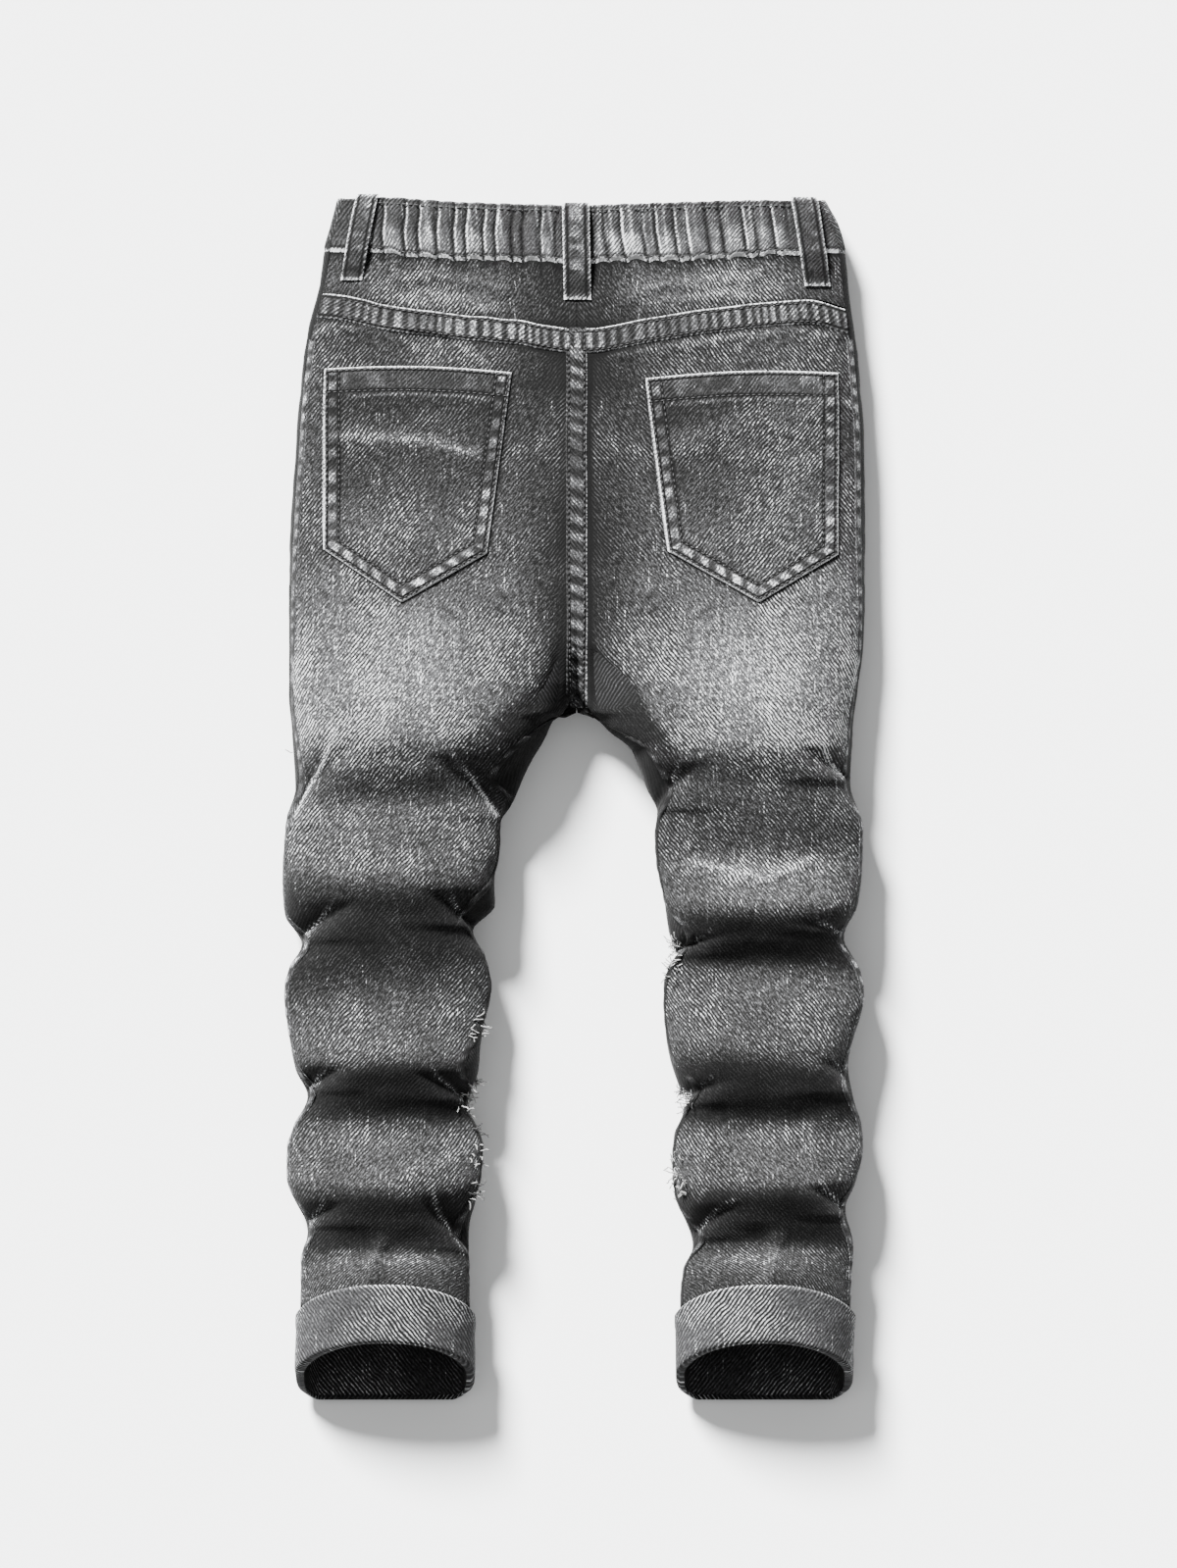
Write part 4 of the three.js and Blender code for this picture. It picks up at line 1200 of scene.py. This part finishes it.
def pocket(half_, name, cut, seed):
    across = steps_of((0, 0.1, 24), (0.1, 0.9, 56), (0.9, 1, 24))[None, :]
    down = steps_of((0, 0.14, 32), (0.14, 0.86, 60), (0.86, 1, 32))[:, None]
    x, y = cut.place(across + 0 * down, down + 0 * across)
    points, normals = on_seat(x, y)
    sides, run, top = cut.edge_distance(x, y)
    near = np.minimum(sides, top)
    in_sides = (1 - rise(sides, POCKET_BAND - 1.8, POCKET_BAND - 0.9)) * rise(near, 2.0, 2.8)
    in_hem = (1 - rise(top, POCKET_HEM - 2, POCKET_HEM - 1)) * rise(near, 2.0, 2.8)
    lower = rise(-y, -130, -122)
    block = roping(run, sides / 8, 9.0, mix(-0.1, -0.5, lower), seed) * (1 + 0.25 * lower)
    blotch = rise(noise(x * 0.7, y * 0.5, 3.4, seed + 5), -0.3, 0.9)
    fold, fold_pale = fold_ridges(x, y, POCKET_FOLDS)
    stitch = bell(near - 1.8, 0.5) + bell(sides - POCKET_BAND, 0.55) * (top > 2)
    stitch = np.minimum(stitch + bell(top - POCKET_HEM, 0.55) * (sides > 2), 1)
    puff = 0.45 * block * in_sides + 0.3 * in_hem * blotch
    puff = puff + 0.35 * rise(near, 0, 1.5) + 0.15 * noise(x, y, 9, seed + 3)
    height = POCKET_LIFT + THIN_CLOTH * (0.35 + 0.65 * rise(near, -0.3, 0.8)) + puff - 0.35 * stitch + fold
    face, back = raised(points, normals, height), raised(points, normals, POCKET_LIFT)
    fade = 0.28 + 0.15 * rise(-y, -172, -132) + 0.03 * noise(x, y, 20, seed + 4)
    fade += 0.12 * (half_ is RIGHT) * rise(x, 70, 125) * rise(y, 130, 150)
    fade -= 0.08 * rise(top, POCKET_HEM, POCKET_HEM + 1) * (1 - rise(top, POCKET_HEM + 10, POCKET_HEM + 18))
    rub = 1.25 * bell(near, 0.8) + 0.66 * block * in_sides + 0.34 * blotch * in_hem
    rub += fold_pale * (1 - in_sides)
    rub += 0.4 * bell(top - POCKET_HEM - 2.2, 0.8) * (sides > POCKET_BAND)
    deep = 1.0 * stitch + 0.16 * (1 - block) * in_sides
    wash_light_and_shade = vectors(fade, rub, deep)
    past_band = rise(sides, POCKET_BAND, POCKET_BAND + 1)
    past_hem = rise(top, POCKET_HEM, POCKET_HEM + 1)
    calm = SEAM_CALM * np.maximum(1 - past_band, 1 - past_hem)
    return cloth_piece(name, face, back, vectors(x, y, calm), wash_light_and_shade, CLOTH_SIDES)


LEFT_POCKET = PocketCut((-127, 217), (-32, 215), (-127.5, 125), (-88, 98), (-44.5, 123), 2.2)
RIGHT_POCKET = PocketCut((36, 212), (134, 215), (47.5, 124), (93.5, 98), (134, 122.5), 2.2)


# --------------------------------------------------------------------------------------- belt loops


def loop_grid(top, foot, width, under, rows, columns):
    """Base points and normals under a belt loop, with its length and width shares."""
    down = downward(0, 1, rows) + np.zeros((1, columns))
    across = sideways(-1, 1, columns) + 0 * down
    x = mix(top[0], foot[0], down) + across * width / 2
    y = mix(top[1], foot[1], down)
    half_ = half_of(top[0])
    turn = turn_at(half_, x, y)
    if under:
        turn = -turn
    return shape(half_, y, turn), shape_normals(half_, y, turn), x, y, down, across


def belt_loop(name, top, foot, width, seed, under=False):
    """A strip folded to three layers that stands off the waistband between its tacked ends."""
    rows, columns = (40, 17) if under else (70, 31)
    points, normals, x, y, down, across = loop_grid(top, foot, width, under, rows, columns)
    bridge = curve([(0, 0.4), (0.05, 2.2), (0.3, 3.6), (0.62, 3.3), (0.76, 2.0), (0.86, 1.0), (1, 0.5)])
    if under:
        bridge = curve([(0, 1.1), (0.3, 1.6), (0.62, 1.5), (0.8, 0.9), (1, 0.4)])
    crown = (1 - np.abs(across) ** 6) ** 0.5
    ends = rise(down, 0, 0.03) * rise(1 - down, 0, 0.03)
    base = bridge(down) + 0.15 * noise(x, y, 6, seed)
    groove = bell(np.abs(across) - 0.66, 0.09)
    thick = (0.5 + 0.6 * crown - 0.2 * groove) * (0.6 + 0.4 * ends) + 0.12 * noise(x, y, 3, seed + 1)
    face, back = raised(points, normals, base + thick), raised(points, normals, base)
    edge = bell(np.abs(across) - 1, 0.16)
    blotch = rise(noise(x * 0.5, y, 3.2, seed + 2), -0.35, 0.7) * (1 - rise(np.abs(across), 0.45, 0.62))
    rub = 0.85 * edge + 0.5 * blotch * (1 - rise(down, 0.78, 0.86))
    rub = rub + 0.9 * bell(down - 0.985, 0.02) + 0.6 * bell(down, 0.03)
    deep = 0.8 * groove + 0.45 * bell(down - 0.88, 0.06)
    wash_light_and_shade = vectors(0.38 + 0 * x, rub, deep)
    return cloth_piece(name, face, back, vectors(x, y, SEAM_CALM), wash_light_and_shade, [washed_denim], sharp_degrees=65)


# -------------------------------------------------------------------------------------------- cuffs


def cuff(half_, name, seed):
    """The hem turned up once, so that the paler wrong side shows. It rolls over at the mouth and hides the
    end of the leg."""
    rows, columns = 34, 190
    turn = np.linspace(0, 2 * math.pi, columns, endpoint=False)[None, :] + np.zeros((rows, 1))
    down = downward(0, 1, rows) + 0 * turn
    y = mix(CUFF_TOP_Y, CUFF_HEM_Y, down)
    points, normals = surface_at(half_, y, turn)
    around = row_lengths(points)
    upper = rise(points[..., 2], 3, 12)
    uneven = upper * (0.45 * noise(around, y, 24, seed) + 0.2 * noise(around, y, 7, seed + 1))
    roll, lip = rounded((down - 0.93) / 0.07), rounded((0.045 - down) / 0.045)
    flare = 0.5 * bell(down, 0.1) * upper
    outside = 0.4 + 2.3 * roll * (0.45 + 0.55 * lip) + flare + uneven * (1 - bell(down - 1, 0.06))
    inside = 0.35 - 2.0 * rise(down, 0.9, 0.97) + flare * 0.5
    face, back = raised(points, normals, outside), raised(points, normals, inside)
    fade = 0.45 + 0.05 * noise(around, y, 15, seed + 2) - 0.1 * rise(down, 0.86, 0.97)
    rub = 0.3 * bell(down, 0.04)
    wash_light_and_shade = vectors(fade, rub, 0)
    place = vectors(around, points[..., 1], 0)
    return cloth_piece(name, face, back, place, wash_light_and_shade, [denim_wrong_side], tube=True)


# ---------------------------------------------------------------------------------------- the front

# Tears across the front of the legs, as (low Y, high Y, share of the width from the inseam).
LEFT_TEARS = [(-163, -144, 0.40), (-206, -180, 0.46), (-118, -113, 0.16)]
RIGHT_TEARS = [(-98, -74, 0.42), (-162, -149, 0.34), (-206, -184, 0.44)]
LEG_WIDTH = 120


def tear_share(tear, y, run, seed):
    """Below 1 inside a ragged tear. run is the distance from the inseam."""
    low, high, reach = tear
    middle_y, tall = (low + high) / 2, (high - low) / 2
    far = reach * LEG_WIDTH
    ragged = 0.16 * noise(run, y, 2.6, seed) + 0.12 * noise(run, y, 6, seed + 1)
    return np.hypot((y - middle_y) / tall, (run - far / 2 - 1) / (far / 2)) + ragged


def front_panel(half_, name, tears):
    ys = np.linspace(271, LEG_END_Y, 240)
    centre = turn_at(half_, CENTRE_X + half_.side * SEAM_GAP, np.maximum(ys, CROTCH_Y))
    end = np.where(ys > CROTCH_Y, -centre, -math.pi - np.radians(half_.inseam(ys)) + TURN_GAP)
    turns = even_turns(half_, ys, outseam(ys) - TURN_GAP, end, 75)
    head_x = shape(half_, ys[0], turns[0])[:, 0]
    y = ys[:, None] + ((waist_seam(head_x) - 0.3 - ys[0])[None, :] * rise(ys, 240, 271)[:, None])
    points, normals = surface_at(half_, y, turns)
    x, z = points[..., 0], points[..., 2]
    upper = rise(z, front_lift(y) + 0.6, front_lift(y) + 6)
    relief = upper * (0.35 * noise(z * 3, y, 13, 71) + 0.2 * noise(z * 3, y, 5, 72))
    face, back = raised(points, normals, relief), raised(points, normals, -CLOTH)
    from_inseam = row_lengths(points[:, ::-1])[:, ::-1]
    share = np.full(x.shape, 9.0)
    for i, tear in enumerate(tears):
        share = np.minimum(share, tear_share(tear, y, from_inseam, 80 + 5 * i))
    torn = (share[:-1, :-1] + share[1:, :-1] + share[:-1, 1:] + share[1:, 1:]) / 4 < 1
    # The front's sides, where they rise off the table, are painted darker as painted shade.
    fade = 0.30 + 0.3 * blob(np.abs(x), y, 92, -60, 30, 130) + 0.06 * noise(x, y, 24, 73) - 0.14 * upper
    fade -= 0.15 * bell(x - CENTRE_X, 26) * rise(y, 40, 90)
    rub = 0.9 * bell(share - 1.05, 0.14)
    wash_light_and_shade = vectors(fade, rub, 0.25 * upper)
    piece = cloth_piece(name, face, back, weave_place(points, y, half_.grain), wash_light_and_shade, CLOTH_SIDES, torn=torn)
    return piece, points, normals, y, from_inseam


def waistband_front():
    rows = 14
    ys = np.linspace(272, 301, rows)
    parts = []
    for half_ in (LEFT, RIGHT):
        end = -turn_at(half_, CENTRE_X, ys)
        turns = even_turns(half_, ys, outseam(ys) - TURN_GAP, end, 84)
        if half_ is RIGHT:
            turns = turns[:, ::-1]
        head_x = shape(half_, 287.0, turns[rows // 2])[:, 0]
        inward = rise(130 - np.abs(head_x), 0, 60)
        top = waist_top(head_x) - 2 * inward
        y = mix(waist_seam(head_x)[None, :], top[None, :], downward(0, 1, rows))
        parts.append((*surface_at(half_, y, turns), y))
    points, normals, y = joined(parts, axis=1)
    x = points[..., 0]
    up = downward(0, 1, rows)
    edge = band_edges(up)
    face = raised(points, normals, WAISTBAND_OUT * edge + 0.12 * noise(x, y, 7, 91) * edge)
    back = raised(points, normals, -WAISTBAND_IN)
    fade = 0.3 + 0.08 * noise(x, y, 18, 92)
    rub = 0.7 * bell(up, 0.04) + 0.7 * bell(up - 1, 0.04)
    wash_light_and_shade = vectors(fade, rub, 0.2 * bell(up - 0.1, 0.05))
    return cloth_piece("waistband_front_cloth", face, back, weave_place(points, y, 0.0), wash_light_and_shade, CLOTH_SIDES)


def fly_flap():
    """The stitched-down flap over the closing."""
    down = downward(0, 1, 50)
    across = sideways(0, 1, 18)
    y = mix(269.5, 184.0, down) + 0 * across
    width = 28 * np.sqrt(np.clip(1 - ((down - 0.66) / 0.34).clip(0, 1) ** 2.2, 0.01, 1))
    x = CENTRE_X - 0.8 - width * (1 - across)
    turn = -turn_at(LEFT, x, y)
    points, normals = surface_at(LEFT, y, turn)
    near = np.minimum(width * across, (1 - down) * 86)
    height = 0.35 + THIN_CLOTH * (0.4 + 0.6 * rise(near, -0.3, 1.0)) + 0.06 * noise(x, y, 5, 95)
    face, back = raised(points, normals, height), raised(points, normals, 0.3)
    wash_light_and_shade = vectors(0.33 + 0 * x, 0.9 * bell(near, 0.9), 0.3 * bell(near - 2.4, 0.8))
    return cloth_piece("fly_flap_cloth", face, back, vectors(x, y, 0), wash_light_and_shade, [washed_denim])


def waist_button():
    """A shank button: a dished face with a rolled rim and a plain ring around its middle."""
    low, high = (np.array(p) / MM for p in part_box("waist_button"))
    middle, radius, thick = (low + high) / 2, (high[0] - low[0]) / 2, high[2] - low[2]
    profile = [
        (0.0, 0.98), (0.55, 0.98), (0.78, 0.95), (0.9, 0.8), (0.985, 0.55), (1.0, 0.35),
        (0.97, 0.14), (0.88, 0.02), (0.76, 0.03), (0.68, 0.16), (0.5, 0.2), (0.42, 0.14),
        (0.36, 0.2), (0.18, 0.22), (0.0, 0.22),
    ]
    sides = 56
    angle = np.linspace(0, 2 * math.pi, sides, endpoint=False)
    ring_points = []
    for r, z in profile:
        reach = radius * max(r, 0.02)
        x, y = middle[0] + reach * np.cos(angle), middle[1] + reach * np.sin(angle)
        ring_points.append(vectors(x, y, low[2] + thick * z))
    points = np.concatenate(ring_points)
    quads = []
    for ring in range(len(profile) - 1):
        for i in range(sides):
            j = (i + 1) % sides
            low_ring, high_ring = ring * sides, (ring + 1) * sides
            quads.append([low_ring + i, low_ring + j, high_ring + j, high_ring + i])
    last = (len(profile) - 1) * sides
    for i in range(1, sides // 2):
        across = max(sides - i - 1, sides // 2)
        quads.append([i, sides - i, across, i + 1])
        quads.append([last + i, last + i + 1, last + across, last + sides - i])
    quads = outward_quads(points, np.array(quads))
    return add_mesh("waist_button_face", points, quads, [blackened_brass()])


# -------------------------------------------------------------------------------- threads and frays


class Threads:
    """Many short threads joined in one mesh. Each is a six-sided tube along its points."""

    SIDES = 6

    def __init__(self):
        self.points, self.quads, self.count = [], [], 0

    def add(self, line, normals, radius, flat=1.0):
        """A thread along a line. normals point out of the cloth, and flat below 1 presses it down."""
        line, normals = np.asarray(line, float), unit(np.asarray(normals, float) + np.zeros_like(line))
        along = unit(np.gradient(line, axis=0))
        side = unit(np.cross(normals, along))
        up = unit(np.cross(along, side))
        steps = len(line)
        taper = np.ones(steps)
        taper[0], taper[-1] = 0.55, 0.55
        angle = np.arange(self.SIDES) * 2 * math.pi / self.SIDES
        ring = side[:, None, :] * np.cos(angle)[None, :, None]
        ring = ring + up[:, None, :] * (flat * np.sin(angle))[None, :, None]
        points = line[:, None, :] + ring * (radius * taper)[:, None, None]
        start = self.count
        self.points.append(points.reshape(-1, 3))
        s = self.SIDES
        for step in range(steps - 1):
            low, high = start + step * s, start + (step + 1) * s
            for i in range(s):
                j = (i + 1) % s
                self.quads.append((low + i, low + j, high + j, high + i))
        last = start + (steps - 1) * s
        self.quads += [(start, start + 3, start + 2, start + 1), (start, start + 5, start + 4, start + 3)]
        self.quads += [(last, last + 1, last + 2, last + 3), (last, last + 3, last + 4, last + 5)]
        self.count += len(points) * s

    def mesh(self, name, material):
        points = np.concatenate(self.points)
        return add_mesh(name, points, outward_quads(points, np.array(self.quads)), [material])


def resample(line, pitch):
    """Points every pitch along a line, with the rest of the length shared out."""
    line = np.asarray(line, float)
    run = line_lengths(line)
    count = max(2, int(run[-1] / pitch) + 1)
    at = np.linspace(0, run[-1], count)
    return np.stack([np.interp(at, run, line[:, i]) for i in range(line.shape[1])], -1)


STITCH_PITCH = 3.1
STITCH_LENGTH = 2.3
STITCH_RADIUS = 0.34


def sew(threads, surface, line, lift=0.25):
    """A row of stitches along a line of (X, Y). surface gives points of the cloth and their normals."""
    knots = resample(line, STITCH_PITCH / 4)
    points, normals = surface(knots[:, 0], knots[:, 1])
    run = line_lengths(points)
    at = 0.0
    while at + STITCH_LENGTH < run[-1]:
        share = np.linspace(0, 1, 4)
        place = at + share * STITCH_LENGTH
        p = np.stack([np.interp(place, run, points[:, i]) for i in range(3)], -1)
        n = np.stack([np.interp(place, run, normals[:, i]) for i in range(3)], -1)
        arch_up = lift + 0.28 * np.sin(share * math.pi) - 0.3 * (np.abs(share - 0.5) > 0.45)
        threads.add(p + unit(n) * arch_up[:, None], n, STITCH_RADIUS, 0.7)
        at += STITCH_PITCH


# ----------------------------------------------------------------------------------------- assembly

back_left = back_panel(LEFT, "back_left_cloth")
back_right = back_panel(RIGHT, "back_right_cloth")
yoke_left = yoke(LEFT, "yoke_left_cloth")
yoke_right = yoke(RIGHT, "yoke_right_cloth")
band_back = waistband_back()
band_front = waistband_front()
front_left, *front_left_grid = front_panel(LEFT, "front_left_cloth", LEFT_TEARS)
front_right, *front_right_grid = front_panel(RIGHT, "front_right_cloth", RIGHT_TEARS)
pocket_left = pocket(LEFT, "pocket_left_cloth", LEFT_POCKET, 101)
pocket_right = pocket(RIGHT, "pocket_right_cloth", RIGHT_POCKET, 111)
cuff_left = cuff(LEFT, "cuff_left_cloth", 121)
cuff_right = cuff(RIGHT, "cuff_right_cloth", 131)
fly = fly_flap()
button = waist_button()

seam_centre = centre_seam()
seam_yoke = yoke_welt()
inseams = [
    side_welt(
        half_, name, lambda y, h=half_: math.pi - np.radians(h.inseam(y)),
        top=30.0, width=4.6, seed=seed, fade=0.16, edge=0.1,
    )
    for half_, name, seed in ((LEFT, "inseam_left", 141), (RIGHT, "inseam_right", 143))
]
outseams = [
    side_welt(half_, name, outseam, top=232.0, width=4.2, seed=seed, fade=0.4, edge=0.4)
    for half_, name, seed in ((LEFT, "outseam_left", 145), (RIGHT, "outseam_right", 147))
]

# Each belt loop's top and foot, its width, and whether it is on the hidden front.
LOOPS = {
    "loop_back_left": ((-105, 306.0), (-113.5, 262), 11, False),
    "loop_centre": ((0.5, 301.5), (1.5, 252), 14, False),
    "loop_back_right": ((116, 304.5), (123.5, 259), 13, False),
    "loop_front_left": ((-72, 300), (-74, 258), 12, True),
    "loop_front_right": ((74, 300), (76, 258), 12, True),
}
loops = {
    name: belt_loop(name + "_cloth", top, foot, width, 151 + 3 * i, under)
    for i, (name, (top, foot, width, under)) in enumerate(LOOPS.items())
}

# -------------------------------------------------------------------------------- rows of stitching

stitching = Threads()


def on_shape(x, y):
    return top_points(x, y), top_normals(x, y)


def lifted(base, lift):
    """The surface that stands off another by lift."""

    def surface(x, y):
        points, normals = base(x, y)
        return raised(points, normals, lift), normals

    return surface


def inset(cut, distance):
    """The pocket's outline below its opening, moved in by a distance."""
    corners = np.array([cut.top_left, cut.low_left, cut.point, cut.low_right, cut.top_right])
    sides = np.diff(corners, axis=0)
    inward = unit(np.stack([-sides[:, 1], sides[:, 0]], -1))
    lines = []
    for i in range(4):
        lines.append((corners[i] + inward[i] * distance, corners[i + 1] + inward[i] * distance))
    out = [lines[0][0]]
    for (a, b), (c, d) in zip(lines, lines[1:]):
        u, v, w = b - a, d - c, c - a
        t = (w[0] * v[1] - w[1] * v[0]) / (u[0] * v[1] - u[1] * v[0])
        out.append(a + u * t)
    out.append(lines[3][1])
    return np.array(out)


EDGE_ROW = 1.5  # first row of stitches, from the edge
pocket_surface = lifted(on_seat, POCKET_LIFT + THIN_CLOTH)
for cut in (LEFT_POCKET, RIGHT_POCKET):
    for distance in (EDGE_ROW, POCKET_BAND):
        sew(stitching, pocket_surface, inset(cut, distance), 0.15)
    for distance in (EDGE_ROW, POCKET_HEM):
        opening = [cut.place(np.array(t), np.array(0.0)) for t in np.linspace(0.015, 0.985, 30)]
        sew(stitching, pocket_surface, [(x, y - distance) for x, y in opening], 0.15)
for side in (-3.9, 3.9):
    sew(stitching, lifted(on_seat, 0.55), [(CENTRE_X + side, y) for y in np.linspace(235, 48, 60)])
for across in (0.5 - 0.37, 0.5 + 0.37):
    line = [(x, float(yoke_seam(x)) - YOKE_WELT * across) for x in np.linspace(-118, 126, 90)]
    sew(stitching, lifted(on_seat, 0.5), line)
for edge_of_band, distance in ((waist_line, 2.4), (waist_top, -3.0)):
    line = [(x, float(edge_of_band(x)) + distance) for x in np.linspace(-112, 120, 120)]
    sew(stitching, lifted(on_shape, 1.5), line)
stitches = stitching.mesh("stitching", seam_thread)

# ----------------------------------------------------------------------------------- frayed threads

weft, warp = Threads(), Threads()
chance = random.Random(7)


def bent(start, heading, length, curl, steps=7):
    """A loose end that wanders from where it starts."""
    line, at, way = [np.array(start, float)], np.array(start, float), np.array(heading, float)
    for _ in range(steps):
        way = way + np.array([chance.uniform(-curl, curl) for _ in range(3)])
        way /= np.linalg.norm(way)
        at = at + way * length / steps
        at[2] = max(at[2], 0.5)
        line.append(at.copy())
    return np.array(line)


def mend_tears(grid, tears):
    """The pale crossing yarns that stay when the dyed ones have worn away, and the broken ends by them."""
    points, normals, y, run = grid
    rows = y[:, 0]
    for i, (low, high, reach) in enumerate(tears):
        for level in np.arange(low - 1, high + 1, 1.15):
            level = level + chance.uniform(-0.3, 0.3)
            row = np.interp(-level, -rows, np.arange(len(rows)))
            r0 = int(min(row, len(rows) - 2))
            f = row - r0
            line = mix(points[r0], points[r0 + 1], f)
            out = mix(normals[r0], normals[r0 + 1], f)
            span = mix(run[r0], run[r0 + 1], f)
            share = tear_share((low, high, reach), level, span, 80 + 5 * i)
            inside = np.where(share < 1.08)[0]
            if len(inside) < 4:
                continue
            pick = np.arange(max(inside[0] - 1, 0), min(inside[-1] + 2, len(line)))
            dip = np.sin(np.linspace(0, math.pi, len(pick))) * chance.uniform(0.2, 0.9)
            path = line[pick] - out[pick] * (0.55 + dip)[:, None]
            path[:, 2] = np.maximum(path[:, 2], 0.35)
            every = 2 if len(path) > 8 else 1
            weft.add(path[::every], out[pick][::every], 0.27)
        for _ in range(46):
            edge = chance.choice((low, high))
            level = edge + chance.uniform(-1.0, 1.0)
            row = int(np.argmin(np.abs(rows - level)))
            share = tear_share((low, high, reach), rows[row], run[row], 80 + 5 * i)
            near = np.where(share < 1.25)[0]
            if not len(near):
                continue
            column = chance.choice(list(near))
            start = points[row, column] - normals[row, column] * 0.6
            heading = (chance.uniform(-0.3, 0.3), 1.0 if edge == low else -1.0, 0.05)
            warp.add(bent(start, heading, chance.uniform(2.5, 6.0), 0.3, 4), normals[row, column], 0.2)


mend_tears(front_left_grid, LEFT_TEARS)
mend_tears(front_right_grid, RIGHT_TEARS)


def fringe(threads, half_, high, low, count, length, radius, curl=0.45):
    """Loose ends that stick out of the inner side of a leg."""
    for _ in range(count):
        y = chance.uniform(low, high)
        start = shape(half_, y, chance.uniform(2.6, 3.25))
        heading = np.array([-half_.side * 0.6, chance.uniform(-0.6, 0.6), chance.uniform(-0.05, 0.25)])
        threads.add(bent(start, heading, chance.uniform(*length), curl), (0, 0, 1), radius)


fringe(weft, LEFT, -111, -126, 14, (2.5, 6.0), 0.28)
fringe(weft, LEFT, -144, -161, 26, (3.0, 8.0), 0.30)
fringe(warp, LEFT, -169, -175, 8, (3.0, 7.0), 0.22)
fringe(weft, LEFT, -177, -188, 12, (2.0, 5.0), 0.28)
fringe(warp, LEFT, -196, -207, 8, (4.0, 8.0), 0.22)
fringe(weft, LEFT, -196, -207, 8, (3.0, 6.0), 0.26)
fringe(weft, RIGHT, -72, -96, 30, (2.5, 6.5), 0.28)
fringe(warp, RIGHT, -148, -161, 12, (2.5, 5.5), 0.22)
fringe(weft, RIGHT, -148, -161, 10, (2.0, 5.0), 0.28)
fringe(weft, RIGHT, -184, -206, 26, (4.0, 9.0), 0.32, curl=0.7)
# One loose yarn on the outer side of the left thigh.
start = shape(LEFT, 22.0, 0.05) + np.array([-0.3, 0, 0])
warp.add(bent(start, (-0.7, -0.6, 0.1), 5.0, 0.5), (0, 0, 1), 0.2)
weft_yarns = weft.mesh("bared_weft", bare_weft)
warp_yarns = warp.mesh("broken_warp", broken_warp)

# ------------------------------------------------------------------------------------- declarations

STANDS_FOR = {
    "back_left": back_left, "back_right": back_right, "yoke_left": yoke_left, "yoke_right": yoke_right,
    "waistband_back": band_back, "waistband_front": band_front,
    "front_left": front_left, "front_right": front_right,
    "pocket_left": pocket_left, "pocket_right": pocket_right,
    "cuff_left": cuff_left, "cuff_right": cuff_right, "fly_flap": fly, "waist_button": button, **loops,
}
for node_name, piece in STANDS_FOR.items():
    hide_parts(node_name)
